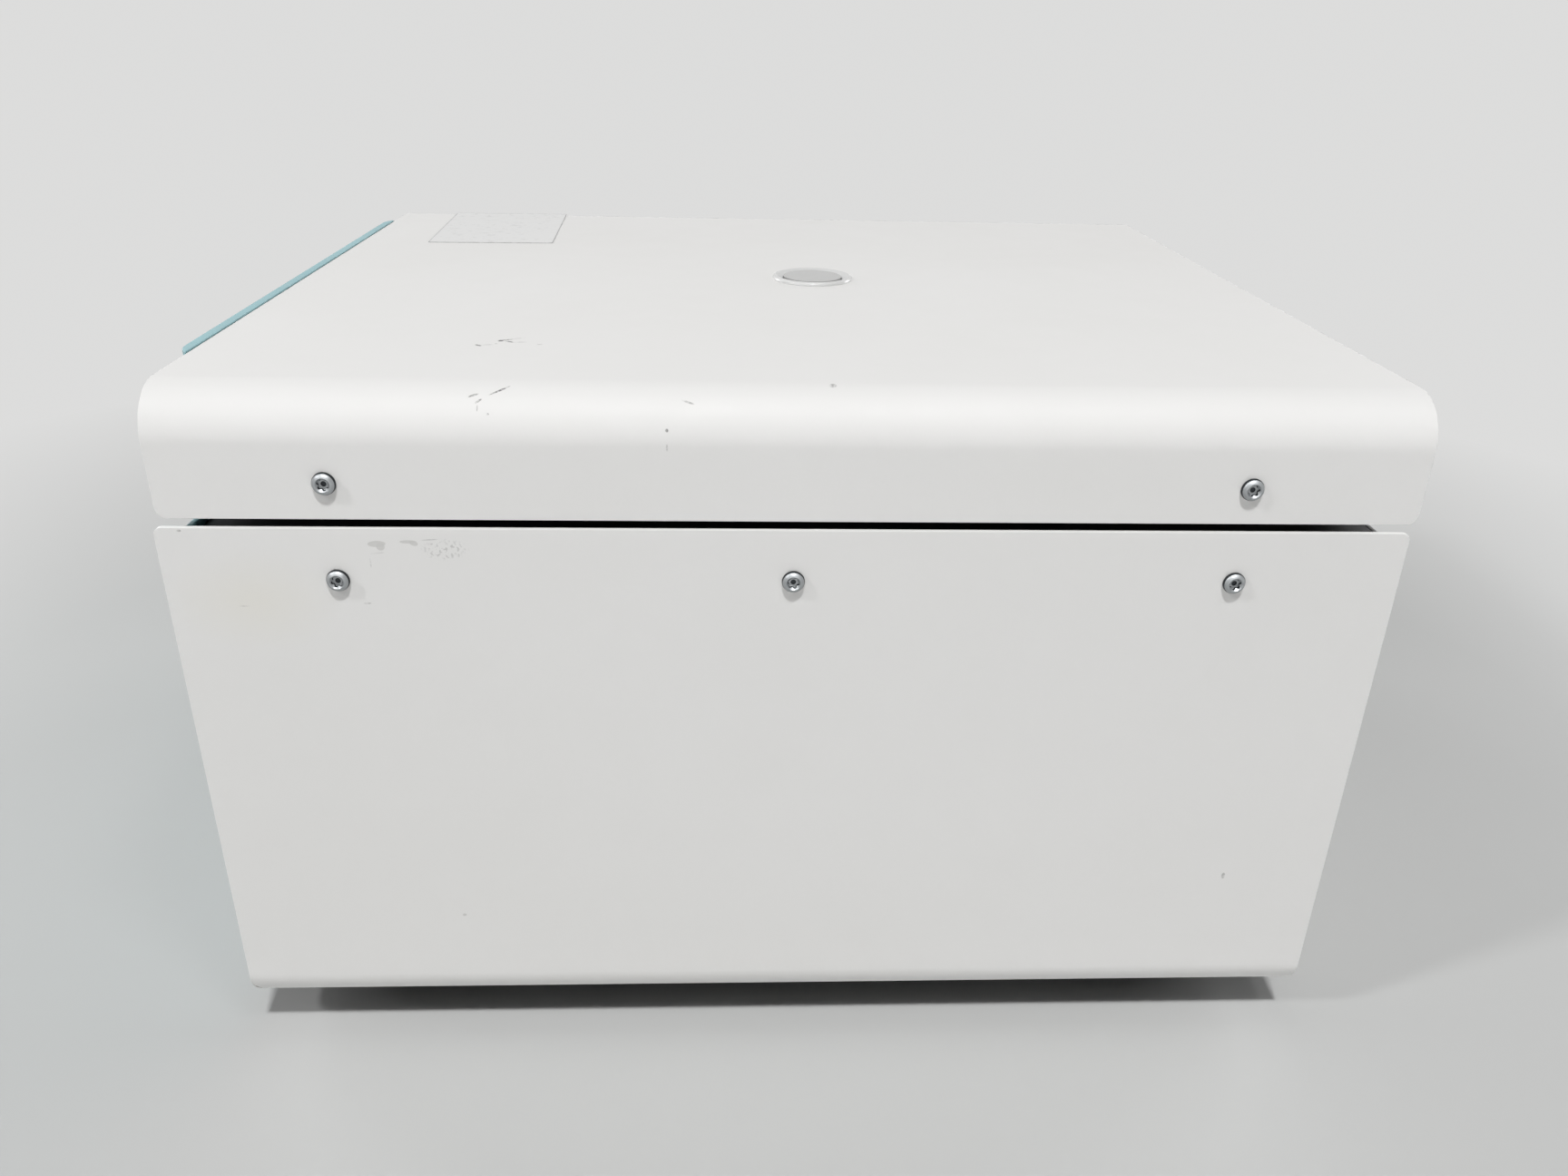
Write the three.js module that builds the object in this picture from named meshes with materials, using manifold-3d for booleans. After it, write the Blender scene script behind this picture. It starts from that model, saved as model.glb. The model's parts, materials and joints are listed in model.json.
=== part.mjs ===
// A benchtop centrifuge with a hinged lid and a swing-out rotor, in millimetres.
// +Z is up and the front faces -Y. The origin is on the floor under the middle of the case.
import * as THREE from 'three';
import { mergeVertices } from 'three/addons/utils/BufferGeometryUtils.js';
import loadManifold from 'manifold-3d';

// Case: two bent sheets, a channel below and an inverted channel above
const width = 384;
const depth = 434; // from the front mouldings to the lid sheet's rear edge
const footHeight = 16;
const sideHeight = 211;
const lidGap = 3.2;
const lidDepth = 44;
const sheet = 2;
const baseBend = 16;
const lidBend = 18;
const lidCornerRound = 3.8;
const baseCornerRound = 3;
const baseFrontSetback = 2; // of the base sheet's front edge behind the mouldings
const baseRearSetback = 1; // of its rear edge inside the lid sheet's
const frontRecess = 12; // of the front faces behind the mouldings
const rearRecess = 9; // of the rear faces inside the lid sheet's rear edge
const wall = 3; // moulded plastic
const fit = 0.25; // between pieces that seat on each other
const overrun = 2; // of a cutter past the face it opens

// Pan head screws with a six-sided recess
const screwRadius = 2;
const screwHeadRadius = 4;
const screwHeadHeight = 2.4;
const screwLength = 9;
const screwRecessRadius = 1.9;
const screwRecessDepth = 1.2;
const screwRecessSides = 6;
const screwSetback = 61; // from the front and rear of the case
const sideScrewDrop = 19; // below the side sheet's top edge
const lidScrewRise = 13; // above the lid flange's bottom edge

// Feet
const footRadius = 16;
const footTopRadius = 13;
const footInset = 48; // from the side sheet's outside
const footSetback = 45; // from the front and rear of the case
const footDimpleRadius = 5;
const footDimpleDepth = 3;

// Top deck and chamber
const deckDrop = 2.4;
const deckSheet = 2;
const deckSkirt = 26;
const chamberFrontRoom = 12.8; // between the lock housing and the guard ring
const chamberRearRoom = 30.8; // between the guard ring and the rear face
const chamberSideRoom = 30.8; // between the guard ring and the case's sides
const bowlSheet = 1.2;
const bowlCorner = 14;
const bowlRim = 6;
const bowlBore = 14;
const guardClear = 6;
const guardWall = 4;
const sealOverhang = 1;
const sealLip = 1.4;

// Chassis plate that carries the motor and the guard ring
const motorBay = 78; // from the base sheet to the chassis plate's top
const chassisSheet = 3;
const chassisBend = 6;
const chassisMargin = 6; // of the plate past the guard ring
const chassisBore = 34;
const bowlLift = 4;

// Motor, bearings and shaft
const motorRadius = 48;
const motorWall = 4;
const motorFlangeRadius = 64;
const motorFlange = 4;
const motorHeight = 50;
const damperRadius = 8;
const damperWaist = 6;
const damperHeight = 12.4;
const damperCircle = 56;
const damperCount = 3;
const shaftRadius = 6;
const shaftFit = 0.2;
const shaftCollarRadius = 10;
const shaftCollarHeight = 4;
const bearingRadius = 13;
const bearingWidth = 8;
const bearingLip = 2;
const bearingLipRadius = 8;
const armatureRadius = 39;
const armatureHeight = 22;
const bootWall = 2;
const bootFootRadius = 22;
const bootTopRadius = 18;

// Rotor head, nut and buckets
const rotorThickness = 24;
const rotorTopDrop = 22; // of the rotor's top below the deck
const rotorChamfer = 6;
const hubRadius = 20;
const hubDrop = 18;
const hubFlare = 10;
const rotorRadius = 92;
const pivotCircle = 80;
const bucketCount = 4;
const fullTurn = 360; // degrees
const bucketCollarRadius = 22;
const bucketRadius = 19;
const bucketBore = 16.5;
const bucketRoom = 12; // at least, between a hanging bucket and the bowl's floor
const bucketSwing = 12; // between a swung bucket and the bowl's wall
const bucketFloor = 4;
const bucketFoot = 5;
const bucketRise = 14; // of the collar above and below the pivot
const bucketClear = 1.5;
const pivotRadius = 3;
const pivotBite = 2.7;
const nutRadius = 15;
const nutHeight = 10;
const nutChamfer = 2;
const nutStudLength = 4;
const pocketRadius = 12;
const pocketInset = 8; // of a pocket's middle from the rotor's edge
const pocketDepth = 14;

// Lid: front moulding with the brow that shows before the sheet's edge, liner and viewing port
const browHalf = 151;
const browRise = 0.5; // above the lid sheet
const browReach = 4; // past the lid sheet's front edge
const browRound = 14;
const linerLift = 0.6;
const linerWall = 2.5;
const linerRim = 21;
const gripHalf = 45;
const gripHeight = 17;
const gripDepth = 9;
const portRadius = 16;
const portFlangeRadius = 18.4;
const portFlange = 1.5;
const portChamfer = 0.8;
const portLedge = 1.4;
const lensRadius = 13.6;
const lensThickness = 2.4;
const lensDrop = 0.4; // of the lens below the port's rim

// Hinges
const hingeInset = 62; // of a hinge's middle from the case's side
const knuckleRadius = 4;
const hingeDrop = 1.2; // of the pin's axis below the lid flange's edge
const hingePinRadius = 2;
const hingePinFit = 0.1;
const hingePinHead = 3;
const hingeLength = 50;
const hingeKnuckle = 25;
const hingeGap = 0.5;
const hingePlate = 2.5;
const leafReach = 28;
const bracketReach = 30;

// Lid lock
const lockHalfWidth = 30;
const lockDepth = 30;
const lockHeight = 40;
const lockSetback = 44; // of the striker behind the front mouldings
const strikerWidth = 12;
const strikerThickness = 3;
const strikerDrop = 34;
const strikerHeadLength = 24;
const strikerHeadHeight = 2;
const slotClear = 2.5;
const boltRadius = 3;
const boltLength = 36;
const boltHeadRadius = 5;
const boltHeadLength = 3;
const boltRest = 4.6; // of the bolt's tip beside the striker's middle
const boltDrop = 25;
const boltPocket = 4;

// Front face with its control bay
const consoleLow = 36; // of the console's underside above the base sheet
const consoleFrame = 23; // between the bay and the console's side
const bayDrop = 13; // of the bay below the side sheet's top edge
const bayHeight = 76;
const bayDepth = 10;
const displayMargin = 10; // from the bay's left edge
const displayWidth = 110;
const displayLow = 27; // above the bay's lower edge
const displayHeight = 38;
const displayThickness = 2;
const keyWidth = 26;
const keyHeight = 14;
const keyPitch = 38;
const keyMargin = 32; // of the first key's middle from the bay's left edge
const keyRise = 12;
const keyProud = 2;
const keyTravel = 1.5;
const keyFlange = 1.5;
const keyFlangeThickness = 1.6;
const keyStem = 1.8;
const knobRadius = 19;
const knobFaceRadius = 17;
const knobHeight = 9;
const knobChamfer = 1;
const knobMargin = 50; // of the knob's middle from the bay's right edge
const knobRise = 38;
const knobShaftRadius = 3;
const boardSetback = 10; // of the board behind the bay's back
const boardThickness = 1.6;
const boardMargin = 4;
const postRadius = 3;
const postInset = 5;
const encoderHalf = 7;

// Rear face with its inlet, switch and vents
const panelSheet = 1.5;
const inletInset = 72; // of the inlet's middle from the case's side
const inletRise = 42; // of the inlet's and the switch's middle above the base sheet
const inletHalfWidth = 14;
const inletHalfHeight = 11;
const inletFlange = 3;
const inletFlangeThickness = 2;
const inletDepth = 22;
const inletWall = 2;
const inletSocketDepth = 16;
const switchPitch = 50; // from the inlet's middle to the switch's
const switchHalfWidth = 9.5;
const switchHalfHeight = 13.5;
const switchDepth = 18;
const rockerHalfWidth = 7.2;
const rockerHalfHeight = 9.6;
const rockerTip = 8;
const rockerValley = 5.5;
const rockerBack = 4;
const rockerTilt = THREE.MathUtils.degToRad(8);
const rockerAxleRadius = 1.4;
const rockerAxleReach = 1.2;
const ventCount = 12;
const ventWidth = 3.5;
const ventHeight = 48;
const ventPitch = 9;
const ventStart = 12;
const ventLow = 70; // above the base sheet

// Facets: segments of a quarter bend, and sides of round pieces from small to large
const bendSteps = 4;
const smallSides = 12;
const mediumSides = 16;
const largeSides = 24;
const ringSides = 48;
const weldDistance = 1e-4;

// Planes and centres that follow from the sizes above
const sideX = width / 2;
const edgeY = depth / 2;
const baseTop = footHeight + sideHeight;
const lidBottom = baseTop + lidGap;
const lidTop = lidBottom + lidDepth;
const floorZ = footHeight + sheet;
const insideX = sideX - sheet - fit;
const frontY = frontRecess - edgeY;
const rearY = edgeY - rearRecess;
const baseEdges = [baseFrontSetback - edgeY, edgeY - baseRearSetback];
const lidEdges = [browReach - edgeY, edgeY];
const deckTop = baseTop - deckDrop;
const deckUnder = deckTop - deckSheet;
const deckFrontY = frontY + wall + fit;
const deckRearY = rearY - panelSheet - fit;
const lockY = lockSetback - edgeY;
const chamberFront = lockY + lockDepth / 2 + chamberFrontRoom;
const chamberRear = rearY - chamberRearRoom;
const chamberY = (chamberFront + chamberRear) / 2;
const guardOuter = Math.min(chamberRear - chamberFront, width - 2 * chamberSideRoom) / 2;
const guardInner = guardOuter - guardWall;
const bowlOuter = guardInner - guardClear;
const chamberRadius = bowlOuter - bowlSheet;
const chassisHalfWidth = guardOuter + chassisMargin;
const chassisTop = floorZ + motorBay;
const chassisUnder = chassisTop - chassisSheet;
const bowlBottom = chassisTop + bowlLift;
const rimUnder = deckTop + fit;
const rimTop = rimUnder + bowlSheet;
const linerUnder = lidBottom + linerLift;
const linerFloor = linerUnder + linerWall;
const archTop = lidTop - sheet - fit;
const archRound = lidBend - sheet - fit;
const trayRound = baseBend - sheet - fit;
const motorTop = chassisUnder - damperHeight - 2 * fit;
const motorBottom = motorTop - motorHeight;
const rotorTop = deckTop - rotorTopDrop;
const rotorBottom = rotorTop - rotorThickness;
const hubBottom = rotorBottom - hubDrop;
const pivotZ = rotorTop - rotorThickness / 2;
const swingReach = chamberRadius - bucketSwing - pivotCircle;
const hangReach = pivotZ - bowlBottom - bowlSheet - bucketRoom;
const bucketReach = Math.min(swingReach, hangReach); // from the pivot to the bottom
const pocketCircle = rotorRadius - pocketInset;
const hingeX = sideX - hingeInset;
const hingeY = edgeY - knuckleRadius;
const hingeZ = lidBottom - hingeDrop;
const lockTop = deckUnder - fit;
const boltZ = linerUnder - boltDrop;
const bayFloorY = bayDepth - edgeY;
const bayBackY = bayFloorY + wall;
const bayTopZ = baseTop - bayDrop;
const bayLowZ = bayTopZ - bayHeight;
const bayHalf = browHalf - consoleFrame;
const displayLeft = bayHalf - displayMargin;
const displayRight = displayLeft - displayWidth;
const keyFirst = bayHalf - keyMargin;
const knobRight = bayHalf - knobMargin;
const boardY = bayBackY + boardSetback;
const keyZ = bayLowZ + keyRise;
const knobZ = bayLowZ + knobRise;
const inletLeft = sideX - inletInset;
const switchLeft = inletLeft - switchPitch;
const inletZ = floorZ + inletRise;
const panelOuterY = rearY + fit;

const wasm = await loadManifold();
wasm.setup();

const axes = {
  x: new THREE.Vector3(1, 0, 0),
  y: new THREE.Vector3(0, 1, 0),
  z: new THREE.Vector3(0, 0, 1),
};
const plane = new THREE.Matrix4();

// An outline is drawn on the plane that its direction crosses: (y, z), (x, z) or (x, y).
const drawnAcross = {
  x: plane.clone().makeBasis(axes.y, axes.z, axes.x),
  y: plane.clone().makeBasis(axes.x, axes.z, axes.y.clone().negate()),
  z: plane.clone(),
};
const turnedAbout = {
  x: plane.clone().makeBasis(axes.y, axes.z, axes.x),
  y: plane.clone().makeBasis(axes.z, axes.x, axes.y),
  z: plane.clone(),
};

// The closed body of a geometry, with its shared corners merged and its empty triangles dropped.
function solidOf(geometry) {
  const bare = new THREE.BufferGeometry();
  bare.setAttribute('position', geometry.getAttribute('position'));
  bare.setIndex(geometry.index);
  const merged = mergeVertices(bare, weldDistance);
  const corners = merged.index.array;
  const kept = [];
  for (let i = 0; i < corners.length; i += 3) {
    const [a, b, c] = corners.slice(i, i + 3);
    if (a !== b && b !== c && c !== a) kept.push(a, b, c);
  }
  const vertProperties = new Float32Array(merged.getAttribute('position').array);
  const triVerts = new Uint32Array(kept);
  return new wasm.Manifold(new wasm.Mesh({ numProp: 3, vertProperties, triVerts }));
}

function geometryOf(solid) {
  const { vertProperties, triVerts } = solid.getMesh();
  const geometry = new THREE.BufferGeometry();
  geometry.setAttribute('position', new THREE.BufferAttribute(new Float32Array(vertProperties), 3));
  geometry.setIndex(new THREE.BufferAttribute(new Uint32Array(triVerts), 1));
  geometry.computeVertexNormals();
  return geometry;
}

// An outline pushed along an axis, from one coordinate to another.
function prism(shape, axis, from, to, steps = bendSteps) {
  const options = { depth: to - from, bevelEnabled: false, curveSegments: steps };
  const geometry = new THREE.ExtrudeGeometry(shape, options);
  geometry.applyMatrix4(drawnAcross[axis]);
  const start = axes[axis].clone().multiplyScalar(axis === 'y' ? to : from);
  geometry.translate(start.x, start.y, start.z);
  return solidOf(geometry);
}

// A profile of [radius, height] points turned about an axis. It closes on itself or on the axis.
function turned(profile, sides, axis = 'z') {
  const points = profile.map(([radius, height]) => new THREE.Vector2(radius, height));
  if (profile[0][0] > 0) points.push(points[0].clone());
  const geometry = new THREE.LatheGeometry(points, sides);
  geometry.rotateX(Math.PI / 2);
  geometry.applyMatrix4(turnedAbout[axis]);
  return solidOf(geometry);
}

function rod(radius, axis, from, to, sides = smallSides) {
  return turned([[0, from], [radius, from], [radius, to], [0, to]], sides, axis);
}

function ring(inner, outer, low, high, sides) {
  return turned([[inner, low], [outer, low], [outer, high], [inner, high]], sides);
}

function block([x0, x1], [y0, y1], [z0, z1]) {
  const geometry = new THREE.BoxGeometry(x1 - x0, y1 - y0, z1 - z0);
  geometry.translate((x0 + x1) / 2, (y0 + y1) / 2, (z0 + z1) / 2);
  return solidOf(geometry);
}

function both(half) {
  return [-half, half];
}

function corner(shape, u, v, radius, start) {
  if (radius > 0) shape.absarc(u, v, radius, start, start + Math.PI / 2, false);
  else shape.lineTo(u, v);
}

// An outline centred on u = 0, with one radius on its lower corners and one on its upper corners.
function tablet(half, low, high, lowRadius, highRadius) {
  const shape = new THREE.Shape();
  shape.moveTo(lowRadius - half, low);
  corner(shape, half - lowRadius, low + lowRadius, lowRadius, -Math.PI / 2);
  corner(shape, half - highRadius, high - highRadius, highRadius, 0);
  corner(shape, highRadius - half, high - highRadius, highRadius, Math.PI / 2);
  corner(shape, lowRadius - half, low + lowRadius, lowRadius, Math.PI);
  return shape;
}

function polygon(points) {
  return new THREE.Shape(points.map(([u, v]) => new THREE.Vector2(u, v)));
}

// Quarter turn of [radius, height] points about a centre, from one angle to another.
function bend(radius, height, size, from, to) {
  const turn = (to - from) / bendSteps;
  return Array.from({ length: bendSteps + 1 }, (_, i) => [
    radius + size * Math.cos(from + i * turn),
    height + size * Math.sin(from + i * turn),
  ]);
}

function holesAlongX(radius, places) {
  const holes = places.map(([y, z]) => rod(radius, 'x', -sideX, sideX).translate(0, y, z));
  return wasm.Manifold.union(holes);
}

const screwReach = edgeY - screwSetback;
const sideScrewPlaces = [-screwReach, 0, screwReach].map((y) => [y, baseTop - sideScrewDrop]);
const lidScrewPlaces = both(screwReach).map((y) => [y, lidBottom + lidScrewRise]);

// A sheet's outline from the side, between its front and rear edges.
function sideOutline([front, rear], low, high, lowRound, highRound) {
  const outline = tablet((rear - front) / 2, low, high, lowRound, highRound);
  return prism(outline, 'x', -sideX, sideX).translate(0, (front + rear) / 2, 0);
}

function baseShell() {
  const outside = prism(tablet(sideX, footHeight, baseTop, baseBend, 0), 'y', ...baseEdges);
  const hollow = tablet(sideX - sheet, floorZ, baseTop + overrun, baseBend - sheet, 0);
  const inside = prism(hollow, 'y', -edgeY - overrun, edgeY + overrun);
  const fromTheSide = sideOutline(baseEdges, footHeight, baseTop, 0, baseCornerRound);
  const holes = holesAlongX(screwRadius + fit, sideScrewPlaces);
  return outside.subtract(inside).intersect(fromTheSide).subtract(holes);
}

function lidShell() {
  const outside = prism(tablet(sideX, lidBottom, lidTop, 0, lidBend), 'y', ...lidEdges);
  const hollow = tablet(sideX - sheet, lidBottom - overrun, lidTop - sheet, 0, lidBend - sheet);
  const inside = prism(hollow, 'y', -edgeY - overrun, edgeY + overrun);
  const fromTheSide = sideOutline(lidEdges, lidBottom, lidTop, lidCornerRound, 0);
  const portHole = rod(portRadius + fit, 'z', archTop, lidTop + overrun, largeSides);
  const holes = holesAlongX(screwRadius + fit, lidScrewPlaces);
  const shell = outside.subtract(inside).intersect(fromTheSide).subtract(holes);
  return shell.subtract(portHole.translate(0, chamberY, 0));
}

function panScrew() {
  const shoulder = screwHeadHeight / 3;
  const head = [
    [0, fit - screwLength],
    [screwRadius, fit - screwLength],
    [screwRadius, fit],
    [screwHeadRadius, fit],
    [screwHeadRadius, fit + shoulder],
    [screwHeadRadius - shoulder / 2, screwHeadHeight - shoulder / 2],
    [screwHeadRadius / 2, screwHeadHeight + fit],
    [0, screwHeadHeight + fit],
  ];
  const recessFloor = screwHeadHeight + fit - screwRecessDepth;
  const drive = rod(screwRecessRadius, 'x', recessFloor, screwHeadHeight + overrun, screwRecessSides);
  return turned(head, smallSides, 'x').subtract(drive);
}

function foot() {
  const top = footHeight - fit;
  const profile = [
    [0, footDimpleDepth],
    [footDimpleRadius, footDimpleDepth],
    [footDimpleRadius, 0],
    [footRadius, 0],
    [footTopRadius, top],
    [0, top],
  ];
  return turned(profile, mediumSides);
}

function topDeck() {
  const under = deckTop - deckSkirt;
  const outside = block(both(insideX), [deckFrontY, deckRearY], [under, deckTop]);
  const hollowX = both(insideX - deckSheet);
  const hollowY = [deckFrontY - overrun, deckRearY + overrun];
  const hollow = block(hollowX, hollowY, [under - overrun, deckUnder]);
  const opening = rod(bowlOuter + fit, 'z', under, deckTop + overrun, ringSides);
  const slotX = both(strikerThickness / 2 + slotClear);
  const slotY = [lockY - strikerWidth / 2 - slotClear, lockY + strikerWidth / 2 + slotClear];
  const slot = block(slotX, slotY, [under, deckTop + overrun]);
  const holes = holesAlongX(screwRadius + fit, sideScrewPlaces);
  const deck = outside.subtract(hollow).subtract(opening.translate(0, chamberY, 0));
  return deck.subtract(slot).subtract(holes);
}

function chamberBowl() {
  const cornerZ = bowlBottom + bowlSheet + bowlCorner;
  const cornerR = chamberRadius - bowlCorner;
  const profile = [
    [bowlBore, bowlBottom],
    ...bend(cornerR, cornerZ, bowlCorner + bowlSheet, -Math.PI / 2, 0),
    [bowlOuter, rimUnder],
    [bowlOuter + bowlRim, rimUnder],
    [bowlOuter + bowlRim, rimTop],
    [chamberRadius, rimTop],
    ...bend(cornerR, cornerZ, bowlCorner, 0, -Math.PI / 2),
    [bowlBore, bowlBottom + bowlSheet],
  ];
  return turned(profile, ringSides);
}

function lidSeal() {
  const inner = chamberRadius + sealOverhang;
  const outer = bowlOuter + bowlRim;
  const low = rimTop + fit;
  const high = linerUnder - fit;
  const profile = [
    [inner, low],
    [outer, low],
    [outer, high - sealLip],
    [outer - sealLip, high],
    [inner + sealLip, high],
    [inner, high - sealLip],
  ];
  return turned(profile, ringSides);
}

function guardRing() {
  return ring(guardInner, guardOuter, chassisTop + fit, deckUnder - fit, ringSides);
}

function chassisPlate() {
  const feetZ = floorZ + fit;
  const front = chamberY - guardOuter - chassisMargin;
  const rear = chamberY + guardOuter + chassisMargin;
  const outside = prism(tablet(chassisHalfWidth, feetZ, chassisTop, 0, chassisBend), 'y', front, rear);
  const innerHalf = chassisHalfWidth - chassisSheet;
  const innerRound = chassisBend - chassisSheet;
  const hollow = tablet(innerHalf, feetZ - overrun, chassisUnder, 0, innerRound);
  const inside = prism(hollow, 'y', front - overrun, rear + overrun);
  const bore = rod(chassisBore, 'z', chassisUnder - overrun, chassisTop + overrun, mediumSides);
  return outside.subtract(inside).subtract(bore.translate(0, chamberY, 0));
}

function motorHousing() {
  const pocket = bearingRadius + shaftFit;
  const inner = motorRadius - motorWall;
  const capLow = motorBottom + bearingLip + bearingWidth;
  const capHigh = motorTop - bearingLip - bearingWidth;
  const profile = [
    [bearingLipRadius, motorBottom],
    [motorRadius, motorBottom],
    [motorRadius, motorTop - motorFlange],
    [motorFlangeRadius, motorTop - motorFlange],
    [motorFlangeRadius, motorTop],
    [bearingLipRadius, motorTop],
    [bearingLipRadius, motorTop - bearingLip],
    [pocket, motorTop - bearingLip],
    [pocket, capHigh],
    [inner, capHigh],
    [inner, capLow],
    [pocket, capLow],
    [pocket, motorBottom + bearingLip],
    [bearingLipRadius, motorBottom + bearingLip],
  ];
  return turned(profile, largeSides);
}

function bearing() {
  return ring(shaftRadius + shaftFit, bearingRadius, fit, bearingWidth, mediumSides);
}

function damper() {
  const middle = damperHeight / 2;
  const profile = [
    [0, 0],
    [damperRadius, 0],
    [damperWaist, middle],
    [damperRadius, damperHeight],
    [0, damperHeight],
  ];
  return turned(profile, smallSides);
}

function armature() {
  const low = motorBottom + (motorHeight - armatureHeight) / 2;
  return ring(shaftRadius + shaftFit, armatureRadius, low, low + armatureHeight, largeSides);
}

function driveShaft() {
  const collarTop = hubBottom - fit;
  const profile = [
    [0, motorBottom],
    [shaftRadius, motorBottom],
    [shaftRadius, collarTop - shaftCollarHeight],
    [shaftCollarRadius, collarTop - shaftCollarHeight],
    [shaftCollarRadius, collarTop],
    [shaftRadius, collarTop],
    [shaftRadius, rotorTop - nutStudLength],
    [0, rotorTop - nutStudLength],
  ];
  return turned(profile, smallSides);
}

function shaftBoot() {
  const low = motorTop + fit;
  const high = bowlBottom - fit;
  const profile = [
    [bootFootRadius - bootWall, low],
    [bootFootRadius, low],
    [bootFootRadius, low + bootWall],
    [bootTopRadius, high - bootWall],
    [bootTopRadius, high],
    [bowlBore, high],
    [bowlBore, high - bootWall],
    [bootFootRadius - bootWall, low + bootWall],
  ];
  return turned(profile, mediumSides);
}

// One disc cut by a slot for each bucket, with the pivot pins standing out of the slots' walls.
function rotorHead() {
  const bore = shaftRadius + shaftFit;
  const profile = [
    [bore, hubBottom],
    [hubRadius, hubBottom],
    [hubRadius + hubFlare, rotorBottom],
    [rotorRadius, rotorBottom],
    [rotorRadius, rotorTop - rotorChamfer],
    [rotorRadius - rotorChamfer, rotorTop],
    [bore, rotorTop],
  ];
  const slotHalf = bucketCollarRadius + bucketClear;
  const sweep = Math.hypot(bucketCollarRadius, bucketRise) + bucketClear;
  const slotX = [pivotCircle - sweep, rotorRadius + overrun];
  const slot = block(slotX, both(slotHalf), [hubBottom, rotorTop + overrun]);
  const pinTip = bucketCollarRadius - pivotBite;
  const pin = rod(pivotRadius, 'y', pinTip, slotHalf + overrun).translate(pivotCircle, 0, pivotZ);
  const pins = pin.add(pin.mirror([0, 1, 0]));
  const pocket = rod(pocketRadius, 'z', rotorTop - pocketDepth, rotorTop + overrun, mediumSides);
  const diagonal = pocketCircle * Math.SQRT1_2;
  const share = fullTurn / bucketCount;
  let head = turned(profile, ringSides);
  for (let i = 0; i < bucketCount; i += 1) {
    const turn = [0, 0, i * share];
    head = head.subtract(slot.rotate(turn)).add(pins.rotate(turn));
    head = head.subtract(pocket.translate(diagonal, diagonal, 0).rotate(turn));
  }
  return head;
}

function rotorNut() {
  const low = rotorTop + fit;
  const high = low + nutHeight;
  const stud = shaftRadius;
  const profile = [
    [0, rotorTop - nutStudLength + fit],
    [stud, rotorTop - nutStudLength + fit],
    [stud, low],
    [nutRadius, low],
    [nutRadius, high - nutChamfer],
    [nutRadius - nutChamfer, high],
    [0, high],
  ];
  return turned(profile, largeSides);
}

// A bucket about its pivot: a cup whose collar has a groove on each side, open downwards.
function bucket() {
  const profile = [
    [0, -bucketReach],
    [bucketRadius - bucketFoot, -bucketReach],
    [bucketRadius, bucketFoot - bucketReach],
    [bucketRadius, -bucketRise],
    [bucketCollarRadius, -bucketRise],
    [bucketCollarRadius, bucketRise],
    [bucketBore, bucketRise],
    [bucketBore, bucketFloor - bucketReach],
    [0, bucketFloor - bucketReach],
  ];
  const grooveStart = bucketCollarRadius - pivotBite - fit;
  const grooveRadius = pivotRadius + fit;
  const outwards = [grooveStart, bucketCollarRadius + overrun];
  const round = rod(grooveRadius, 'y', ...outwards);
  const slot = block(both(grooveRadius), outwards, [-bucketRise - overrun, 0]);
  const groove = round.add(slot);
  const grooves = groove.add(groove.mirror([0, 1, 0]));
  return turned(profile, mediumSides).subtract(grooves);
}

// The space inside a front moulding, rounded as its outside is.
function frontHollow(backY, low, high) {
  const outline = tablet(browHalf - wall, wall - edgeY, backY + overrun, browRound - wall, 0);
  return prism(outline, 'z', low, high);
}

// The lid's front moulding: a plate in the arch, and a hollow console with a brow before the sheet.
function lidFrontTrim() {
  const backY = frontY + wall;
  const plate = prism(tablet(insideX, linerUnder, archTop, 0, archRound), 'y', frontY, backY);
  const outline = tablet(browHalf, -edgeY, backY, browRound, 0);
  const consoleTop = prism(outline, 'z', lidBottom, archTop);
  const browTop = lidTop + browRise;
  const beforeSheet = block(both(browHalf), [-edgeY, browReach - fit - edgeY], [lidBottom, browTop]);
  const brow = prism(outline, 'z', lidBottom, browTop).intersect(beforeSheet);
  const hollow = frontHollow(backY, lidBottom + wall, archTop - wall);
  const gripOuterY = [wall - edgeY, gripDepth + wall - edgeY];
  const gripOuter = block(both(gripHalf + wall), gripOuterY, [lidBottom, lidBottom + gripHeight + wall]);
  const gripY = [-edgeY - overrun, gripDepth - edgeY];
  const grip = block(both(gripHalf), gripY, [lidBottom - overrun, lidBottom + gripHeight]);
  return plate.add(consoleTop).add(brow).subtract(hollow).add(gripOuter).subtract(grip);
}

function lidLiner() {
  const front = frontY + wall + fit;
  const arch = prism(tablet(insideX, linerUnder, archTop, 0, archRound), 'y', front, rearY);
  const trayY = [front + linerWall, rearY - linerWall];
  const tray = block(both(insideX - linerWall), trayY, [linerFloor, lidTop]);
  const aboveRim = block(both(sideX), trayY, [linerUnder + linerRim, lidTop]);
  const portHole = rod(portRadius + fit, 'z', linerUnder - overrun, linerFloor + overrun, largeSides);
  const slotX = both(strikerThickness / 2 + fit);
  const slotY = [lockY - strikerWidth / 2 - fit, lockY + strikerWidth / 2 + fit];
  const slot = block(slotX, slotY, [linerUnder - overrun, linerFloor + overrun]);
  const holes = holesAlongX(screwRadius + fit, lidScrewPlaces);
  const liner = arch.subtract(tray).subtract(aboveRim).subtract(slot).subtract(holes);
  return liner.subtract(portHole.translate(0, chamberY, 0));
}

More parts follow.
